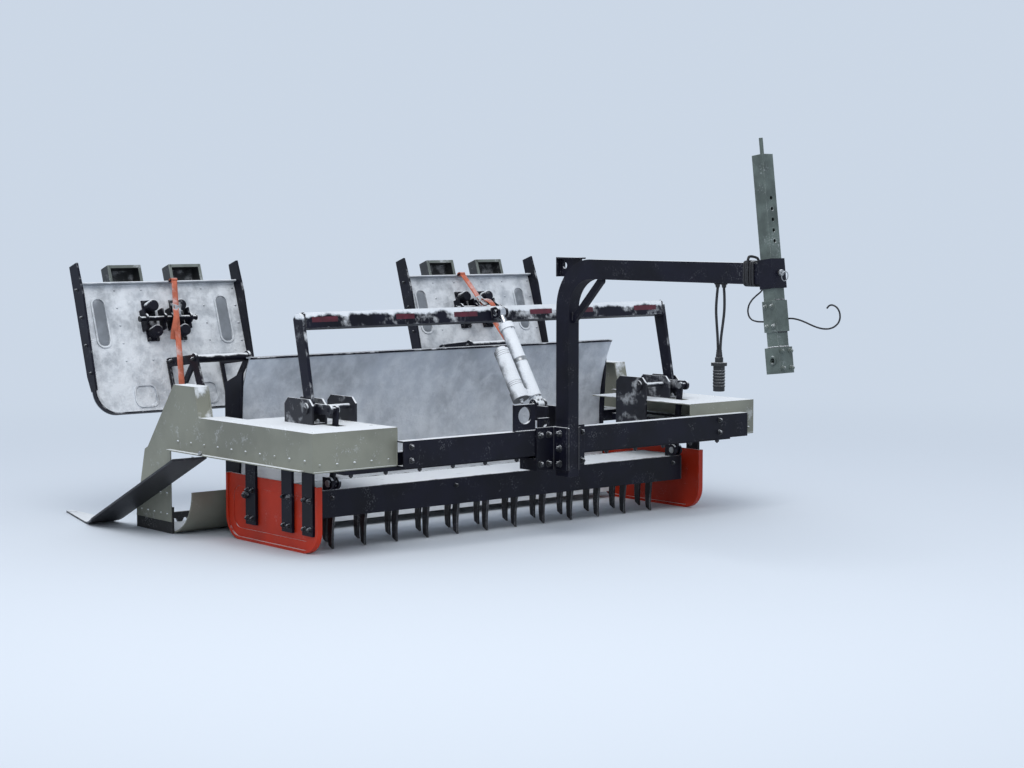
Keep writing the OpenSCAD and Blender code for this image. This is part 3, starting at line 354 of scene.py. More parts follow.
def bolts(at, axis, across):
    """Washers, chamfered six-sided heads and the ends of their bolts: three lathe shapes at each place, the
    head's with six steps, whose corner radius is half the width across the flats over cos 30 degrees."""
    washer = np.array([(0, 0), (0.72, 0), (0.74, 0.04), (0.74, 0.10), (0.70, 0.14), (0, 0.14)]) * across
    corner = 1 / np.sqrt(3)
    head = np.array([(corner, 0.13), (corner, 0.66), (corner * 0.86, 0.78), (0, 0.78)]) * across
    end = np.array([(0.28, 0.70), (0.28, 0.96), (0.22, 1.04), (0, 1.04)]) * across
    return joined([turned(washer, at, axis, 14), turned(head, at, axis, 6), turned(end, at, axis, 10)])


def rows(first, last, count):
    """Places in equal steps from first to last."""
    return np.linspace(first, last, count)


def mirror(shape):
    """The mirror image of a shape on the other side of the middle plane."""
    points, faces = shape
    return points * [1, -1, 1], faces


def both(*shapes):
    """Shapes on the left side with their mirror images on the right."""
    left = joined(shapes)
    return joined([left, mirror(left)])


def carried(profile, path, across, scale=None):
    """A closed profile of (p, q) points carried along a path: path + scale (p side + q up), where side is
    across made square to the path, up is square to both, and the ends are closed into their middles."""
    profile, path = np.asarray(profile, float), np.asarray(path, float)
    along = unit(np.gradient(path, axis=0))
    across = np.broadcast_to(np.asarray(across, float), path.shape)
    side = unit(across - (across * along).sum(1)[:, None] * along)
    up = np.cross(along, side)
    scale = np.ones(len(path)) if scale is None else scale
    skin = path[:, None] + scale[:, None, None] * (
        profile[None, :, :1] * side[:, None] + profile[None, :, 1:] * up[:, None])
    ends = [np.repeat(path[i][None, None], len(profile), 1) for i in (0, -1)]
    points = np.concatenate([ends[0], skin, ends[1]], 0)
    return points.reshape(-1, 3), quads(len(points), len(profile))


def circle(radius, steps, flat=1.0):
    """Points of an ellipse with the radius across and flat times it high."""
    t = np.arange(steps) * 2 * np.pi / steps
    return np.stack([radius * np.cos(t), radius * flat * np.sin(t)], -1)


def weld(first, last, radius=0.0035):
    """A bead along a straight joint: a ring whose radius swells by an eighth with each ripple of the weld, on
    a line that wanders by a tenth of the radius, closed to a point at both ends."""
    first, last = np.asarray(first, float), np.asarray(last, float)
    length = np.linalg.norm(last - first)
    steps = max(8, int(length / (radius * 0.75)))
    s = np.linspace(0, 1, steps)
    path = first + s[:, None] * (last - first)
    path = path + 0.1 * radius * np.sin(s * length / radius * 0.9)[:, None] * [0.5, 0.6, 0.6]
    swell = 1 + 0.125 * np.sin(s * length / radius * 2.1)
    swell = swell * np.minimum(1, np.minimum(s, 1 - s) * length / radius + 0.3)
    reference = [0, 0, 1] if abs(last[2] - first[2]) < 0.7 * length else [1, 0, 0]
    return carried(circle(radius, 6), path, reference, swell)


BEAM_FACE, BEAM_TOP, LUG_THICK = 0.335, 0.435, 0.014
CLAMP_FACE, POST_FRONT, BAR_X, BAR_LOW = 0.344, 0.420, 0.261, 0.322
FRONT_TUBE_BACK, REAR_WELD_X, RAIL_IN = 0.239, -0.771, 1.096
frame_bolts = [bolts(places(CLAMP_FACE, (-0.108, -0.066, 0.066, 0.108), (0.300, 0.415)), (1, 0, 0), 0.019),
               bolts(places(BEAM_FACE, (-0.735, 0.90), (0.360, 0.412)), (1, 0, 0), 0.016),
               bolts(places(BAR_X, rows(-0.96, 0.96, 13), BAR_LOW), (0, 0, -1), 0.016)]
piece("frame_bolts", joined(frame_bolts), bolt_dark, "frame", "black_paint")
frame_welds = [weld([x, y, BEAM_TOP], [x, y + width, BEAM_TOP]) for x in (BEAM_FACE, BEAM_FACE - LUG_THICK)
               for y, width in ((-0.230, 0.104), (-0.105, 0.054))]
frame_welds += [weld([x, side * y, start], [x, side * y, stop]) for side in (-1, 1) for x, y, start, stop in (
    (CLAMP_FACE, 0.038, 0.275, 0.445), (POST_FRONT, 0.026, 0.275, 0.445),
    (FRONT_TUBE_BACK, RAIL_IN, 0.388, 0.342), (REAR_WELD_X, RAIL_IN, 0.342, 0.388))]
piece("frame_welds", joined(frame_welds), weld_black, "frame", "black_paint")

# Side panels
# Folded galvanised sheet, dull and olive-grey, speckled with rime. Dome rivets hold it to the
# rails, and a hemmed edge runs along the front decks and the humps.
panel_zinc = weathered("panel_zinc", (0.215, 0.220, 0.180), (0.42, 0.43, 0.39), 0.52, metallic=0.20,
                       mottle=0.16, mottle_scale=5.0, frost=(0.20, 0.62), wear=0.5, specks=0.45)
dress(panel_zinc, "side_panel_right", "side_panel_left", "finishing_pan")
WALL, DECK_TOP, DECK_LOW, DECK_FRONT, DECK_IN = 1.150, 0.485, 0.340, 0.293, 0.770


def rivets(at, axis, radius):
    """Dome rivets: a lathe shape whose height falls from the middle as the square root of one less the
    squared distance."""
    r = np.linspace(1, 0, 5)
    dome = np.stack([r * radius, 0.55 * radius * np.sqrt(1 - r ** 2)], -1)
    return turned(dome, at, axis, 12)


left_rivets = [rivets(places(rows(-0.66, 0.24, 10), WALL, 0.378), (0, 1, 0), 0.0075),
               rivets(places(rows(-0.955, -0.75, 5), WALL, (0.075, 0.16)), (0, 1, 0), 0.0075),
               rivets(places(rows(-0.29, 0.26, 7), (0.80, 1.125), DECK_TOP), (0, 0, 1), 0.0065),
               rivets(places(DECK_FRONT, rows(0.81, 1.12, 5), 0.365), (1, 0, 0), 0.0065)]
piece("panel_rivets", both(*left_rivets), panel_zinc, "frame", "zinc_sheet")


def hem(first, last, radius=0.0035):
    """A rolled edge: a round profile carried straight from first to last."""
    path = first + np.linspace(0, 1, 3)[:, None] * (last - first)
    return carried(circle(radius, 8), path, [0.3, 0.2, 1] if abs(last[2] - first[2]) < 0.05 else [1, 0.2, 0])


DECK_HEM, HUMP_HEM, HUMP_TOP = 0.291, 1.088, 0.603
deck_edge = [(-0.325, DECK_IN, DECK_TOP - 0.002), (DECK_HEM, DECK_IN, DECK_TOP - 0.002),
             (DECK_HEM, DECK_IN, DECK_LOW + 0.002)]
lower_edge = [(DECK_HEM, DECK_IN, DECK_LOW + 0.001), (DECK_HEM, 1.148, DECK_LOW + 0.001)]
hump_edge = [(-0.500, HUMP_HEM, 0.487), (-0.530, HUMP_HEM, HUMP_TOP), (-0.690, HUMP_HEM, HUMP_TOP),
             (-0.898, HUMP_HEM, 0.343)]
hems = []
for edge in (deck_edge, lower_edge, hump_edge):
    for side in (1, -1):
        bends = np.array(edge) * [1, side, 1]
        hems += [hem(first, last) for first, last in zip(bends, bends[1:])]
piece("panel_hems", joined(hems), panel_zinc, "frame", "zinc_sheet")

# Skids
# Orange-red painted plates with a runner bar, behind black flat bars that are bolted through
# them. Snow has scoured the lower edges.
skid_orange = weathered("skid_orange", (0.45, 0.027, 0.007), (0.26, 0.20, 0.18), 0.50, mottle=0.22, wear=0.8,
                        mottle_scale=4.0, specks=0.12, specular=0.30)
dress(skid_orange, "skids")
dress(black_paint, "skid_brackets")
bracket_x = [x + dx for x in (-0.335, -0.080, 0.060) for dx in (-0.018, 0.018)]
piece("skid_bolts", both(bolts(places(bracket_x, 1.020, (0.095, 0.205)), (0, 1, 0), 0.015),
                         bolts([-0.360, 1.016, 0.185], (0, 1, 0), 0.026)), bolt_dark, "frame", "black_paint")

# Knife bed
# A tray of black plate upside down, with two rows of raked knives worn bright at the tips.
# Each knife is bolted through its stem, and the plates are welded along their edges.
knife_steel = weathered("knife_steel", (0.020, 0.020, 0.024), (0.40, 0.40, 0.41), 0.36, metallic=0.25,
                        wear=1.0, frost_share=0.5, specks=0.2, round_edge=0.003)
dress(black_paint, "knife_bed", "bed_arms")
dress(knife_steel, "front_knives", "rear_knives", "comb")
KNIFE_PITCH, ROW_GAP, KNIFE_COUNT, ROW_SHIFT = 0.152, 0.150, 12, 0.005
BED_FRONT, BED_BACK, BED_SIDE, BED_TOP, BED_BEAD = 0.0515, -0.2025, 0.9495, 0.2345, 0.0026
knife_y = (np.arange(KNIFE_COUNT) - (KNIFE_COUNT - 1) / 2) * KNIFE_PITCH + ROW_SHIFT
stem_bolts = [bolts(places(x, knife_y + stagger, 0.158), (0, 1, 0), 0.013)
              for x, stagger in ((0.012, -KNIFE_PITCH / 4), (0.012 - ROW_GAP, KNIFE_PITCH / 4))]
bed_face_bolts = bolts(places(0.052, rows(-0.90, 0.90, 4), 0.205), (1, 0, 0), 0.013)
piece("knife_bolts", joined(stem_bolts + [bed_face_bolts]), bolt_dark, "knife_bed", "black_paint")
bed_edges = [weld([x, -0.948, BED_TOP], [x, 0.948, BED_TOP], BED_BEAD) for x in (BED_FRONT, BED_BACK)]
for y in (BED_SIDE, -BED_SIDE):
    bed_edges += [weld([0.050, y, BED_TOP], [-0.201, y, BED_TOP], BED_BEAD),
                  weld([BED_FRONT, y, 0.1310], [BED_FRONT, y, 0.2330], BED_BEAD)]
piece("bed_welds", joined(bed_edges), weld_black, "knife_bed", "black_paint")

# Blade
# Rolled plate, black behind and rimed with frost on its hollow front, stiffened by a rolled
# edge along its top.
blade_rime = weathered("blade_rime", (0.42, 0.46, 0.52), (0.5, 0.5, 0.5), 0.6, mottle=0.20, mottle_scale=4.0,
                       frost=(-0.80, 0.45), frost_share=0.75, specks=0.4)
blade_shader = blade_rime.node_tree.nodes["Principled BSDF"]
blade_turn = add_node(blade_rime, "TexCoord").outputs["Normal"]
ahead = add_node(blade_rime, "SeparateXYZ", {0: blade_turn}).outputs[0]
rimed = blade_shader.inputs["Base Color"].links[0].from_socket
one_side = mixed(blade_rime, spread(blade_rime, ahead, -0.15, 0.25), (0.012, 0.013, 0.019, 1), rimed)
blade_rime.node_tree.links.new(one_side, blade_shader.inputs["Base Color"])
dress(blade_rime, "blade")
dress(black_paint, "blade_ribs")
BLADE_X, BLADE_Z, BLADE_R, BLADE_TOP, HEEL_Z = 0.220, 0.375, 0.720, 0.720, 0.062


def blade_x(height):
    """Where the blade's arc stands at a height: x - sqrt(r squared - d squared), from its middle at x, with d
    the height above the middle."""
    return BLADE_X - np.sqrt(BLADE_R ** 2 - (height - BLADE_Z) ** 2)


edge_at = places(blade_x(BLADE_TOP) - 0.003, rows(-0.963, 0.963, 9), BLADE_TOP - 0.0045)
piece("blade_edge", carried(circle(0.005, 8), edge_at, [0, 0, 1]), black_paint, "frame", "black_paint")
heel_at = places(blade_x(HEEL_Z), rows(-0.92, 0.92, 12), HEEL_Z)
piece("blade_bolts", bolts(heel_at, (0.93, 0, 0.37), 0.015), bolt_zinc, "frame", "rod_steel")

# Tails
# Rubber skirts under the panels' tails, clamped by a flat strip, and black plastic wings that
# are bolted to the panels' lower edges.
skirt_rubber = weathered("skirt_rubber", (0.020, 0.020, 0.021), (0.06, 0.06, 0.06), 0.75, wear=0.3, grain=0.2)
wing_plastic = weathered("wing_plastic", (0.014, 0.015, 0.020), (0.08, 0.08, 0.09), 0.5, wear=0.7, grain=0.12,
                         frost=(0.35, 0.85), mottle=0.3)
dress(skirt_rubber, "tail_skirts")
dress(wing_plastic, "side_wings")
WING_LONG, WING_RISE, WING_STEP = 0.720, 0.3312, 0.055
wing_slope = np.arctan2(WING_RISE, WING_LONG)
back = WING_STEP * np.arange(5)
wing_at = np.stack([-0.455 - back, np.full(5, 1.172), 0.345 - back * np.tan(wing_slope)], -1)
wing_bolts = bolts(wing_at, (-np.sin(wing_slope), 0, np.cos(wing_slope)), 0.014)
piece("wing_bolts", both(wing_bolts), bolt_zinc, "frame", "rod_steel")
comb_at = places(-0.990, rows(-1.10, 1.10, 15), 0.034)
piece("comb_bolts", bolts(comb_at, (-1, 0, 0), 0.012), bolt_zinc, "frame", "rod_steel")

# Gooseneck
# One square tube bent over to the front, with its brace, clamp, gusset, sleeve and lugs. Spare
# control lead is wound round the arm just behind the sleeve.
dress(black_paint, "neck", "neck_brace", "neck_base", "neck_tab", "hitch_sleeve", "tow_lug")
LEAN = np.radians(7.3)
ARM_Z, MAST_X, SLEEVE_OUT = 1.070, 1.476, 0.0335


def leant(points, angle, x, z):
    """Points turned back by an angle in side view and moved by x and z: x cos a - z sin a, and
    x sin a + z cos a."""
    points = np.asarray(points, float)
    return np.stack([x + points[..., 0] * np.cos(angle) - points[..., 2] * np.sin(angle), points[..., 1],
                     z + points[..., 0] * np.sin(angle) + points[..., 2] * np.cos(angle)], -1)


def lean_ways(angle):
    """The way up and the way forward of what leans back by an angle."""
    return np.array([-np.sin(angle), 0, np.cos(angle)]), np.array([np.cos(angle), 0, np.sin(angle)])


def leaned(points):
    """Points given along the mast, with zero where it crosses the arm."""
    return leant(points, LEAN, MAST_X, ARM_Z)


def squared_off(t, power):
    """Cosine and sine of t, each raised to a power with its sign kept: a circle that is the squarer, the
    smaller the power."""
    pair = np.stack([np.cos(t), np.sin(t)])
    return np.sign(pair) * np.abs(pair) ** power


mast_up, mast_out = lean_ways(LEAN)
cheek_at = places(0.382, 0.038, (0.300, 0.360, 0.420))
piece("neck_bolts", both(bolts(cheek_at, (0, 1, 0), 0.019)), bolt_dark, "frame", "black_paint")
neck_welds = [weld(*leaned([[-SLEEVE_OUT, y, -0.036], [-SLEEVE_OUT, y, 0.036]])) for y in (-0.026, 0.026)]
neck_welds += [weld(*leaned([[-SLEEVE_OUT, -0.024, z], [-SLEEVE_OUT, 0.024, z]])) for z in (-0.036, 0.0385)]
for y in (-0.008, 0.008):
    neck_welds += [weld([POST_FRONT, y, 0.866], [POST_FRONT, y, 0.900], 0.003),
                   weld([0.566, y, 1.032], [0.592, y, 1.032], 0.003)]
piece("neck_welds", joined(neck_welds), weld_black, "frame", "black_paint")
WOUND_TURNS, WOUND_PITCH, WOUND_HALF, WOUND_HIGH, BOW_HIGH = 5.25, 0.0105, 0.0305, 0.0425, 0.020
turn = np.linspace(0, WOUND_TURNS * 2 * np.pi, 330)
lap = turn / (2 * np.pi)
bow = np.exp(-((lap - 2.3) / 0.16) ** 2)
wide, high = squared_off(turn, 0.30)
wound = np.stack([1.362 + WOUND_PITCH * lap + 0.002 * np.sin(turn * 0.7), WOUND_HALF * wide,
                  ARM_Z + (WOUND_HIGH + BOW_HIGH * bow) * high], -1)
smooth_row = np.ones(7) / 7
wound = np.stack([np.convolve(np.pad(row, 3, mode="edge"), smooth_row, "valid") for row in wound.T], -1)
piece("wound_lead", carried(circle(0.0048, 8), wound, [1, 0, 0]), cable_sheath, "frame", "cable_sheath")

# Hitch mast
# A grey-green galvanised square tube with height holes and a coupler block. A pin with a ring
# locks it in the sleeve.
mast_zinc = weathered("mast_zinc", (0.092, 0.116, 0.106), (0.34, 0.37, 0.35), 0.5, metallic=0.15, mottle=0.30,
                      mottle_scale=18.0, wear=0.7, specks=0.22)
dress(mast_zinc, "hitch_mast", "hitch_coupler")
rim = [(0.0072, -0.0004), (0.0074, 0.0003), (0.0094, 0.0003), (0.0100, -0.0004)]
HOLE_PITCH, MAST_HALF, COUPLER_TOP = 0.038, 0.026, -0.2595
hole_at = places(MAST_HALF, 0, HOLE_PITCH * np.arange(3, 8))
rims = [turned(rim, leaned(hole_at * [way, 1, 1]), way * mast_out, 18) for way in (1, -1)]
piece("mast_hole_rims", joined(rims), mast_zinc, "hitch_mast", "mast_zinc")
collar_at = leaned(places((-0.016, 0.016), 0.031, (-0.185, -0.115)))
foot_at = leaned(places(0.034, (-0.022, 0.022), (-0.275, -0.335)))
bush = [(0.0102, 0.0), (0.0102, 0.003), (0.0165, 0.003), (0.0175, 0.0)]
bushes = both(bolts(collar_at, (0, 1, 0), 0.012), turned(bush, leaned([0, 0.034, -0.306]), (0, 1, 0), 22))
piece("mast_bolts", joined([bushes, bolts(foot_at, mast_out, 0.013)]), mast_zinc, "hitch_mast", "mast_zinc")
mast_welds = []
for edge in (-MAST_HALF, MAST_HALF):
    mast_welds += [weld(*leaned([[edge, -MAST_HALF, COUPLER_TOP], [edge, MAST_HALF, COUPLER_TOP]])),
                   weld(*leaned([[-MAST_HALF, edge, COUPLER_TOP], [MAST_HALF, edge, COUPLER_TOP]]))]
mast_welds += [weld(*leaned([[x, -0.024, z], [x, 0.024, z]]), 0.003)
               for x in (-0.027, 0.027) for z in (-0.206, -0.094)]
ring_t = np.linspace(0, 2 * np.pi, 25)
rod_foot = leaned(np.stack([0.0072 * np.cos(ring_t), 0.0072 * np.sin(ring_t), np.full(25, 0.4222)], -1))
mast_welds += [carried(circle(0.0022, 6), rod_foot, mast_up)]
piece("mast_welds", joined(mast_welds), weld_black, "hitch_mast", "black_paint")
pin_head = [(0, 0.0), (0.0062, 0.0), (0.0062, 0.004), (0.0105, 0.005), (0.0115, 0.008), (0.0115, 0.013),
            (0.0100, 0.016), (0.0040, 0.017), (0.0040, 0.030), (0.0, 0.031)]
ring_path = leaned(np.stack([SLEEVE_OUT + 0.026 + 0.004 * np.cos(ring_t), 0.016 * np.sin(ring_t),
                             -0.014 + 0.016 * np.cos(ring_t)], -1))
piece("mast_pin", joined([turned(pin_head, leaned([SLEEVE_OUT, 0, 0]), mast_out, 18),
                          carried(circle(0.0016, 8), ring_path, mast_out)]), bolt_zinc, "frame", "rod_steel")

# Lift
# A black hoop tilted by an electric actuator, with cranks and drop links to the knife bed.
# Red reflective tape is stuck along the bar's front, and the pins are held by split pins.
hoop_black = weathered("hoop_black", **BLACK, frost=(0.20, 0.70), specks=0.15, snow_line=(0.884, 0.896))
bracket_black = weathered("bracket_black", (0.007, 0.0075, 0.014), (0.07, 0.07, 0.08), 0.50, mottle=0.40,
                          frost=(0.05, 0.60), specks=0.55)
dress(hoop_black, "hoop")
dress(bracket_black, "hoop_cranks", "pivot_brackets")
dress(black_paint, "hoop_clevis", "drop_links", "actuator_foot")
HOOP_LEAN = np.radians(12.0)
HOOP_X, HOOP_Z, HOOP_R, HOOP_HALF = -0.020, 0.545, 0.335, 0.955


def tilted(points):
    """Points given on an upright hoop, with zero at its pivots."""
    return leant(points, HOOP_LEAN, HOOP_X, HOOP_Z)


tape_red = weathered("tape_red", (0.085, 0.006, 0.018), (0.22, 0.07, 0.08), 0.45, mottle=0.35,
                     mottle_scale=30.0, wear=0.2, frost=(0.9, 1.3), specks=0.0, round_edge=0.0008)
tape_edge = [(-0.019, 0.0), (-0.0185, 0.0008), (0.0185, 0.0008), (0.019, 0.0)]
tape_ends = ((-0.91, -0.79), (-0.51, -0.42), (-0.22, -0.10), (0.18, 0.30), (0.44, 0.53), (0.77, 0.90))
tapes = [carried(tape_edge, tilted(places(0.0301, rows(first, last, 9), HOOP_R - 0.008)), -mast_up)
         for first, last in tape_ends]
piece("reflective_tape", joined(tapes), tape_red, "lift_hoop", "orange_paint")
hoop_welds = []
for y in (HOOP_HALF - 0.0145, 0.0145 - HOOP_HALF):
    for x in (-0.030, 0.030):
        hoop_welds.append(weld(*tilted([[x, y, HOOP_R - 0.028], [x, y, HOOP_R + 0.028]])))
    for z in (HOOP_R - 0.030, HOOP_R + 0.030):
        hoop_welds.append(weld(*tilted([[-0.028, y, z], [0.028, y, z]])))
for y in (-0.026, -0.016, 0.016, 0.026):
    hoop_welds.append(weld(*tilted([[0.0305, y, HOOP_R - 0.021], [0.0305, y, HOOP_R + 0.021]]), 0.003))
piece("hoop_welds", joined(hoop_welds), weld_black, "lift_hoop", "black_paint")


def split_pin(at, reach=0.010, half=0.0012, spread_out=0.006, eye=0.0042):
    """A split pin through the end of a pin that lies across the machine: a wire that comes down one side,
    round an eye below and up the other, with its two legs bent apart above."""
    t = np.linspace(-0.75 * np.pi, 0.75 * np.pi, 11)
    down = np.concatenate([[-reach - 0.007, -reach, 0.3 * reach], reach + 0.005 + eye * np.cos(t),
                           [0.3 * reach, -reach, -reach - 0.007]])
    fore = np.concatenate([[-spread_out, -half, -half], eye * np.sin(t), [half, half, spread_out]])
    return carried(circle(0.0013, 6), at + np.stack([fore, 0 * fore, -down], -1), [0, 1, 0])


base_at = places((-0.150, -0.105, 0.010), 0.935, 0.491)
piece("pivot_fixings", both(split_pin([HOOP_X, 0.973, HOOP_Z]), bolts(base_at, (0, 0, 1), 0.014)),
      bolt_zinc, "frame", "rod_steel")
link_end = [(0.0, 0.0), (0.0125, 0.0), (0.0135, 0.001), (0.0135, 0.0035), (0.0, 0.0035)]
link_ends = [turned(link_end, place, (0, way, 0), 20) for place, way in (
    ([0.062, 0.9262, 0.263], 1), ([0.062, 0.8838, 0.263], -1), ([0.090, 0.8998, 0.545], -1))]
piece("link_pin_ends", both(*link_ends), bolt_zinc, "drop_links", "rod_steel")

# Actuator
# A grey tube with a bright rod and a motor beside it on a cast gear case. A wiper seals the
# rod, a band holds the motor to the tube, and wet snow is stuck along its front.
actuator_grey = weathered("actuator_grey", (0.30, 0.32, 0.34), (0.6, 0.6, 0.6), 0.4, metallic=0.3,
                          frost=(-0.40, 0.20), specks=0.7)
motor_case = weathered("motor_case", (0.10, 0.105, 0.11), (0.3, 0.3, 0.3), 0.5, frost=(-0.40, 0.35),
                       specks=0.6)
rod_steel = weathered("rod_steel", (0.55, 0.56, 0.58), (0.7, 0.7, 0.7), 0.22, metallic=1.0, mottle=0.05,
                      specks=0.5)
dress(actuator_grey, "actuator_barrel")
dress(motor_case, "actuator_motor")
dress(rod_steel, "actuator_rod")
ACT_X, ACT_Z, EYE_X, EYE_Z = 0.205, 0.520, -0.03585, 0.88412
MOTOR_X, MOTOR_Y, MOTOR_Z, MOTOR_LONG = -0.010, -0.068, 0.034, 0.226
act_lean = np.arctan2(ACT_X - EYE_X, EYE_Z - ACT_Z)
act_up, act_fore = lean_ways(act_lean)


def on_actuator(points):
    """Points given with zero at the foot pin and the rod straight up, laid along the actuator's slope."""
    return leant(points, act_lean, ACT_X, ACT_Z)


wiper = [(0.0116, 0.3845), (0.0145, 0.3845), (0.0175, 0.3815), (0.0255, 0.3800), (0.0300, 0.3768)]
band = [(0.0268, 0.196), (0.0288, 0.196), (0.0288, 0.199), (0.0282, 0.200), (0.0282, 0.210), (0.0288, 0.211),
        (0.0288, 0.214), (0.0268, 0.214)]
tube_parts = [turned(profile, [ACT_X, 0, ACT_Z], act_up, 32) for profile in (wiper, band)]
tube_parts += [bolts(on_actuator(places((0.0295, -0.0295), 0, 0.3505)), -act_up, 0.006),
               bolts(on_actuator(places(0.020, (-0.009, 0.009), (0.012, 0.034))), act_fore, 0.007)]
piece("actuator_trim", joined(tube_parts), bolt_zinc, "actuator_barrel", "actuator_tube")
fin = [(0.0308, 0.0), (0.0322, 0.0008), (0.0322, 0.0022), (0.0308, 0.003)]
fin_heights = MOTOR_Z + np.array([0.060, 0.068, 0.076, 0.200, 0.208, 0.216])
around = np.arange(4) * np.pi / 2 + 0.5
cap_screws = on_actuator(np.stack([MOTOR_X + 0.0255 * np.cos(around), MOTOR_Y + 0.0255 * np.sin(around),
                                   np.full(4, MOTOR_Z + MOTOR_LONG)], -1))
gland = [(0.0, -0.016), (0.0055, -0.016), (0.0070, -0.006), (0.0095, -0.005), (0.0095, 0.001), (0.0, 0.001)]
motor_parts = [turned(fin, on_actuator(places(MOTOR_X, MOTOR_Y, fin_heights)), act_up, 30),
               bolts(cap_screws, act_up, 0.006),
               turned(gland, on_actuator([MOTOR_X, MOTOR_Y, MOTOR_Z]), act_up, 16)]
piece("motor_trim", joined(motor_parts), motor_case, "actuator_barrel", "motor_case")
piece("actuator_pins", joined([split_pin([ACT_X, y, ACT_Z]) for y in (0.0300, -0.0300)]),
      bolt_zinc, "frame", "rod_steel")
eye_right = [(0.0201, -0.0152), (0.0150, -0.0168), (0.0108, -0.0168), (0.0100, -0.0150)]
eye_left = [(0.0100, 0.0150), (0.0108, 0.0155), (0.0150, 0.0155), (0.0201, 0.0150)]
eye_rings = [turned(profile, [EYE_X, 0, EYE_Z], (0, 1, 0), 24) for profile in (eye_right, eye_left)]
piece("rod_eye_trim", joined(eye_rings + [split_pin([EYE_X, 0.0282, EYE_Z])]),
      bolt_zinc, "actuator_rod", "rod_steel")

# Track trays
# Pale pressed sheets with two troughs below, black bars, rims and arms, and a spring seat.
# Each is folded up and held by an orange-red webbing strap with a cam buckle.
tray_sheet = weathered("tray_sheet", (0.33, 0.36, 0.40), (0.6, 0.6, 0.6), 0.5, metallic=0.12, mottle=0.2,
                       frost=(-0.28, 0.60), frost_share=0.85, specks=0.7)
# The pressed panels are painted a darker grey than the sheet: painted shade for a shaded recess. They also
# hold less frost than the sheet.
recess_painted_shade = weathered("recess_painted_shade", (0.215, 0.235, 0.262), (0.5, 0.5, 0.5), 0.5, metallic=0.2, mottle=0.22,
                        mottle_scale=11.0, frost=(0.35, 1.1), frost_share=0.6, specks=0.35)
# The troughs are painted near-black all over: painted shade that stands in for the shadow inside them.
mould_painted_shade = weathered("mould_painted_shade", (0.030, 0.033, 0.036), (0.25, 0.25, 0.25), 0.55, frost=(0.2, 0.8),
                       frost_share=0.8, specks=0.3)
mould_zinc = weathered("mould_zinc", (0.155, 0.175, 0.160), (0.5, 0.52, 0.5), 0.5, metallic=0.2,
                       frost=(0.4, 0.9), specks=0.6)
for side in ("right", "left"):
    dress(tray_sheet, f"tray_{side}")
    dress(black_paint, f"tray_rails_{side}", f"tray_arms_{side}", f"tray_mount_{side}")
dress(black_paint, "tray_hinge_ears")
FOLD = np.radians(71.5)
HINGE_X, HINGE_Z, TRAY_Y = -0.841, 0.322, 0.850
TRAY_NOSE, TRAY_TAIL, TRAY_TOP, TRAY_HALF = -1.060, -1.630, 0.070, 0.395


def folded(shape, side):
    """A shape given with a tray down on the ground is turned up about its hinge by the fold, and mirrored for
    the right."""
    points, faces = shape
    x, y, z = points.T
    from_hinge = np.stack([x - HINGE_X, side * (TRAY_Y + y), z - HINGE_Z], -1)
    return leant(from_hinge, -FOLD, HINGE_X, HINGE_Z), faces


def tray_piece(label, shape, material, slot, *form, instead_of=None):
    """The piece is made for both trays and folded up with them, and stands for a CAD node if one is named."""
    for side, name in ((-1, "right"), (1, "left")):
        made = piece(f"{label}_{name}", folded(shape, side), material, f"tray_{name}", slot, *form)
        if instead_of:
            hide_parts(f"{instead_of}_{name}")


MOULD_GAP, MOULD_FRONT, MOULD_REAR, MOULD_NOSE, MOULD_HALF = 0.148, -1.240, -1.7098, 0.083, 0.0788
MOULD_WALL, MOULD_TOP, MOULD_TAIL_TOP, RUNG_DEEP = 0.004, 0.0654, 0.0776, 0.013


def sheet_between(outer, inner):
    """A sheet of metal between two grids of points, with its four edges closed: each row of the outer grid
    is followed by the inner grid's row backwards, and the two end rows get a strip of faces."""
    count, across = outer.shape[:2]
    points = np.concatenate([outer, inner[:, ::-1]], 1)
    j = np.arange(across - 1)
    end = np.stack([j, j + 1, 2 * across - 2 - j, 2 * across - 1 - j], -1)
    faces = np.concatenate([quads(count, 2 * across), end, end + (count - 1) * 2 * across])
    return points.reshape(-1, 3), faces


def trough(middle, half, wall):
    """One skin of a track mould: across its width a hanging arch, (half cos t, -depth sin t) with both raised
    to the power 1/4 so that it is nearly square. Its depth reaches from the top edge to the foot, which rises
    from the ground to the tray in a straight line over the nose."""
    x = np.array([MOULD_FRONT + MOULD_NOSE, MOULD_FRONT + 0.5 * MOULD_NOSE, MOULD_FRONT, -1.36, -1.50,
                  TRAY_TAIL - 0.0006, TRAY_TAIL - 0.0008, -1.67, MOULD_REAR])
    foot = np.interp(x, [MOULD_FRONT, MOULD_FRONT + 0.090], [0.0, MOULD_TOP]) + wall
    top = np.where(x < TRAY_TAIL - 0.0007, MOULD_TAIL_TOP, MOULD_TOP)
    wide, deep = squared_off(np.linspace(np.pi, 0, 17), 0.25)
    deep[[0, -1]] = 0.0
    z = top[:, None] - (top - foot)[:, None] * deep[None]
    y = np.repeat(middle + (half - wall) * wide[None], len(x), 0)
    return np.stack([np.repeat(x[:, None], 17, 1), y, z], -1)


def mould(middle):
    """A track mould: the sheet between two skins, with its rear end closed by a plate."""
    outer, inner = trough(middle, MOULD_HALF, 0.0), trough(middle, MOULD_HALF, MOULD_WALL)
    blank = outer[-1:].repeat(2, 0) + np.array([[[0.0, 0, 0]], [[MOULD_WALL, 0, 0]]])
    level = blank.copy()
    level[..., 2] = MOULD_TAIL_TOP
    return joined([sheet_between(outer, inner), sheet_between(blank, level)])


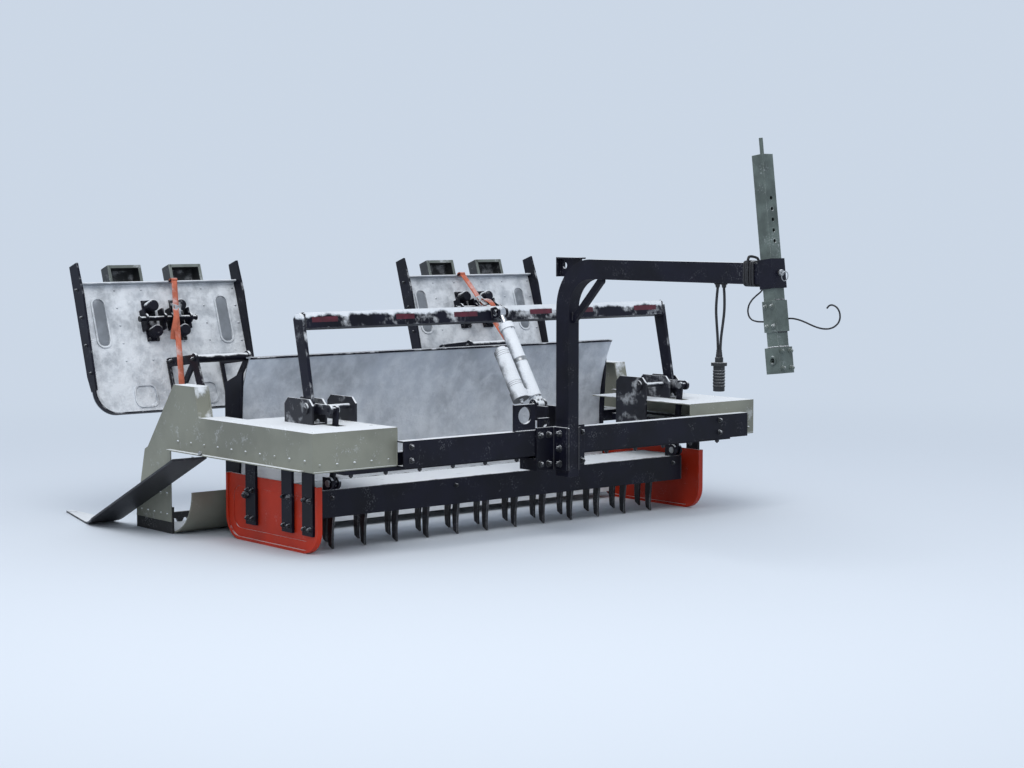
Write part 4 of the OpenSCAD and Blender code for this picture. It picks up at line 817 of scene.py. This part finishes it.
def mould_frame(middle):
    """The pale rolled rim round a mould's open end: a flat strip along each wall and one across its end."""
    strip = np.array([(-0.5, -1), (0.5, -1), (0.5, 1), (-0.5, 1)]) * [RUNG_DEEP, 0.0016]
    z, edge = MOULD_TAIL_TOP - 0.0012, MOULD_HALF - RUNG_DEEP / 2 + 0.0006
    sides = (middle - edge, middle + edge)
    walls = [carried(strip, places((TRAY_TAIL - 0.001, MOULD_REAR), y, z), [0, 1, 0]) for y in sides]
    end = carried(strip, places(MOULD_REAR + RUNG_DEEP / 2, sides, z), [1, 0, 0])
    return joined(walls + [end])


def recess(x, y, long_half, wide_half):
    """A pressed panel inside a bead: rings of a rounded oblong, (a cos t, b sin t) with both raised to the
    power 0.3, that shrink to the middle while the sheet rises towards it by fixed steps."""
    share = np.array([1.0, 0.985, 0.8, 0.5, 0.0])
    level = TRAY_TOP + np.array([-0.0005, 0.0008, 0.0012, 0.0016, 0.0018])
    ring = squared_off(np.arange(40) * np.pi / 20, 0.3).T * [long_half, wide_half]
    flat = [x, y] + share[:, None, None] * ring
    points = np.concatenate([flat, np.repeat(level[:, None, None], 40, 1)], -1)
    return points.reshape(-1, 3), quads(5, 40)


SEAT_X, BEAD_Y, LEG_X = -1.460, 0.300, TRAY_NOSE - 0.170
recesses = joined([recess(SEAT_X, s * BEAD_Y, 0.101, 0.0265) for s in (-1, 1)])
mould_sides = [m * MOULD_GAP + s * 0.064 for m in (-1, 1) for s in (-1, 1)]
lip = places(TRAY_TAIL + 0.003, rows(-0.384, 0.384, 5), 0.0925)
tray_rivets = [rivets(places(rows(-1.20, -1.60, 6), (-0.372, 0.372), TRAY_TOP), (0, 0, 1), 0.006),
               rivets(places(rows(-1.29, -1.60, 5), mould_sides, TRAY_TOP), (0, 0, 1), 0.005),
               carried(circle(0.0045, 8), lip, [0, 0, 1])]
seat_y = (-0.0875, -0.0475, 0.0475, 0.0875)
seat_at = places(SEAT_X + rows(-0.082, 0.082, 3), seat_y, TRAY_TOP + 0.008)
seat_pin = [(0.0, 0.0), (0.0125, 0.0), (0.0125, 0.004), (0.0, 0.004)]
tray_bolts, arm_welds, hinge_pins = [bolts(seat_at, (0, 0, 1), 0.010)], [], []
for s in (-1, 1):
    tray_bolts += [bolts(places(rows(-1.24, -1.60, 4), s * TRAY_HALF, 0.087), (0, s, 0), 0.010),
                   turned(seat_pin, [SEAT_X, s * 0.135, 0.110], (0, s, 0), 18)]
    for y in (-0.245, 0.015):
        arm = y + s * 0.005
        tray_bolts.append(bolts([[LEG_X, arm, 0.285], [LEG_X - 0.040, arm, 0.108]], (0, s, 0), 0.015))
        arm_welds.append(weld([LEG_X - 0.055, arm, 0.0705], [LEG_X + 0.095, arm, 0.0705]))
        hinge_pins.append(split_pin([HINGE_X, TRAY_Y + y + s * 0.020, HINGE_Z]))
# Painted shade: the near-black troughs stand in for the shadow inside them.
tray_piece("mould_troughs", joined([mould(-MOULD_GAP), mould(MOULD_GAP)]), mould_painted_shade, "mould_sheet",
           instead_of="moulds")
tray_piece("mould_rims", joined([mould_frame(-MOULD_GAP), mould_frame(MOULD_GAP)]), mould_zinc, "mould_sheet")
tray_piece("tray_rivets", joined(tray_rivets), tray_sheet, "tray_sheet")
# The panels take the darker grey of painted shade.
tray_piece("tray_recesses", recesses, recess_painted_shade, "tray_sheet")
tray_piece("tray_bolts", joined(tray_bolts), bolt_dark, "black_paint")
tray_piece("tray_welds", joined(arm_welds), weld_black, "black_paint")
piece("hinge_pins_left", joined(hinge_pins), bolt_zinc, "frame", "rod_steel")
piece("hinge_pins_right", mirror(joined(hinge_pins)), bolt_zinc, "frame", "rod_steel")

# Straps
# Orange-red webbing, faded and damp, from a tab on each tray's rear lip down to a hook beside
# the hinge. It passes through a pressed cam buckle, and its spare end hangs loose beside it.
strap_web = weathered("strap_web", (0.56, 0.150, 0.085), (0.7, 0.35, 0.25), 0.8, mottle=0.22,
                      mottle_scale=25.0, wear=0.2, frost_share=0.5, specks=0.35, round_edge=0.0005)
weave_nodes = strap_web.node_tree.nodes
weave_at = add_node(strap_web, "UVMap", uv_map="weave").outputs[0]
waves = [add_node(strap_web, "TexWave", {"Vector": weave_at, "Scale": scale, "Distortion": wobble},
                  bands_direction=way).outputs[1]
         for scale, wobble, way in ((55.0, 0.4, "Y"), (40.0, 0.3, "DIAGONAL"))]
weave_bump = add_node(strap_web, "Bump", {"Strength": 0.5, "Distance": 0.0008,
                                          "Height": sums(strap_web, "ADD", *waves)})
first_bump = next(node for node in weave_nodes if node.type == "BUMP" and node is not weave_bump)
strap_web.node_tree.links.new(first_bump.outputs[0], weave_bump.inputs["Normal"])
strap_web.node_tree.links.new(weave_bump.outputs[0], weave_nodes["Principled BSDF"].inputs["Normal"])
WEB_WIDTH, WEB_THICK = 0.028, 0.0022


def webbing(path, across):
    """A flat band: a long rounded profile carried along the path, with a map whose u goes round the profile
    and whose v is the length along the path, both in strap widths."""
    profile = np.array([(-0.5, 0), (-0.48, 0.45), (-0.2, 0.5), (0.2, 0.5), (0.48, 0.45), (0.5, 0),
                        (0.48, -0.45), (0.2, -0.5), (-0.2, -0.5), (-0.48, -0.45)]) * [WEB_WIDTH, WEB_THICK]
    points, faces = carried(profile, path, across)
    run = np.concatenate([[0], np.cumsum(np.linalg.norm(np.diff(path, axis=0), axis=1))])
    run = np.concatenate([run[:1], run, run[-1:]])
    u, v = np.meshgrid(profile[:, 0] / WEB_WIDTH, run / WEB_WIDTH)
    return points, faces, np.stack([u, v], -1).reshape(-1, 2)


def drawn(start, *ways):
    """A path that leaves the start by a row of distances along each direction that is given with one."""
    return start + sum(np.outer(row, way) for row, way in ways)


TAB_X, TAB_Y = TRAY_TAIL + 0.003, -0.060
strap_top = np.array([TAB_X, TAB_Y, TRAY_TOP + 0.046])
strap_foot = np.array([HINGE_X - 0.040, 0.150, HINGE_Z - 0.012])
strap_way = strap_foot - strap_top
s = np.linspace(0, 1, 60)
main_run = drawn(strap_top, (s, strap_way), (0.002 * np.sin(7 * s), [0, 1, 0]),
                 (0.006 * np.sin(np.pi * s), [0, 0, 1]))
flat_way = np.cross(strap_way, [0, 0, 1])
loop_t = np.linspace(0, 2 * np.pi, 20)[:-1]
lip_loop = np.stack([TAB_X + 0.0085 * np.cos(loop_t) - 0.002, np.full(19, TAB_Y),
                     strap_top[2] - 0.010 + 0.014 * np.sin(loop_t)], -1)
buckle_at = strap_top + 0.20 * strap_way + [0, 0, 0.006]
t = np.linspace(0, 1, 40)
loose_end = buckle_at + np.stack([
    0.004 - 0.030 * np.sin(3.4 * t) * np.exp(-2 * t) + 0.125 * t ** 1.6, 0.052 * t ** 0.7,
    0.008 + 0.034 * np.sin(3.0 * t) ** 2 + 0.008 * t ** 4], -1)
web_parts = [webbing(main_run, flat_way), webbing(lip_loop, [0, 1, 0]), webbing(loose_end, [-0.35, 1, 0])]
web_shape = joined([part[:2] for part in web_parts])
web_map = np.concatenate([part[2] for part in web_parts])
tab = carried([(-0.018, -0.003), (0.018, -0.003), (0.018, 0.003), (-0.018, 0.003)],
              places(TAB_X, TAB_Y, TRAY_TOP + np.array([0.018, 0.030, 0.042, 0.050])), [0, 1, 0],
              np.array([1.0, 1.0, 0.9, 0.6]))
down, across = unit(strap_way), unit(flat_way)
face = np.cross(across, down)
face = face * np.sign(face[2])
frame_t = np.linspace(0, 2 * np.pi, 41)
wide, high = squared_off(frame_t, 0.4)
frame_path = drawn(buckle_at, (0.026 * wide, down), (0.018 * high, across))
lever = drawn(buckle_at, (rows(-0.022, 0.030, 9), down), (0.006 + 0.010 * rows(0, 1, 9) ** 1.5, face))
cam_axle = drawn(buckle_at + 0.004 * face, (rows(-0.020, 0.020, 5), across))
buckle = [carried(circle(0.0028, 8), frame_path, face), carried(circle(0.0045, 10), cam_axle, down),
          carried(circle(0.013, 14, 0.12), lever, across)]
HOOK_R, EYE_BACK = 0.011, 0.030
hook_t = np.linspace(0, 1.35 * np.pi, 26)
hook_along = np.concatenate([[-EYE_BACK, -0.012], HOOK_R * np.sin(hook_t) + 0.004])
hook_path = drawn(strap_foot, (hook_along, down), (np.append([0, 0], HOOK_R * (1 - np.cos(hook_t))), -face))
hook_eye = drawn(strap_foot - EYE_BACK * down, (0.013 * np.cos(frame_t), across),
                 (0.007 * np.sin(frame_t), down))
hook = [carried(circle(0.0036, 8), hook_path, across), carried(circle(0.0026, 8), hook_eye, face)]
tray_piece("strap_webbing", web_shape, strap_web, "strap_webbing", 80.0, web_map, instead_of="strap")
tray_piece("strap_tab", tab, black_paint, "black_paint")
tray_piece("strap_buckle", joined(buckle + hook), bolt_zinc, "rod_steel")
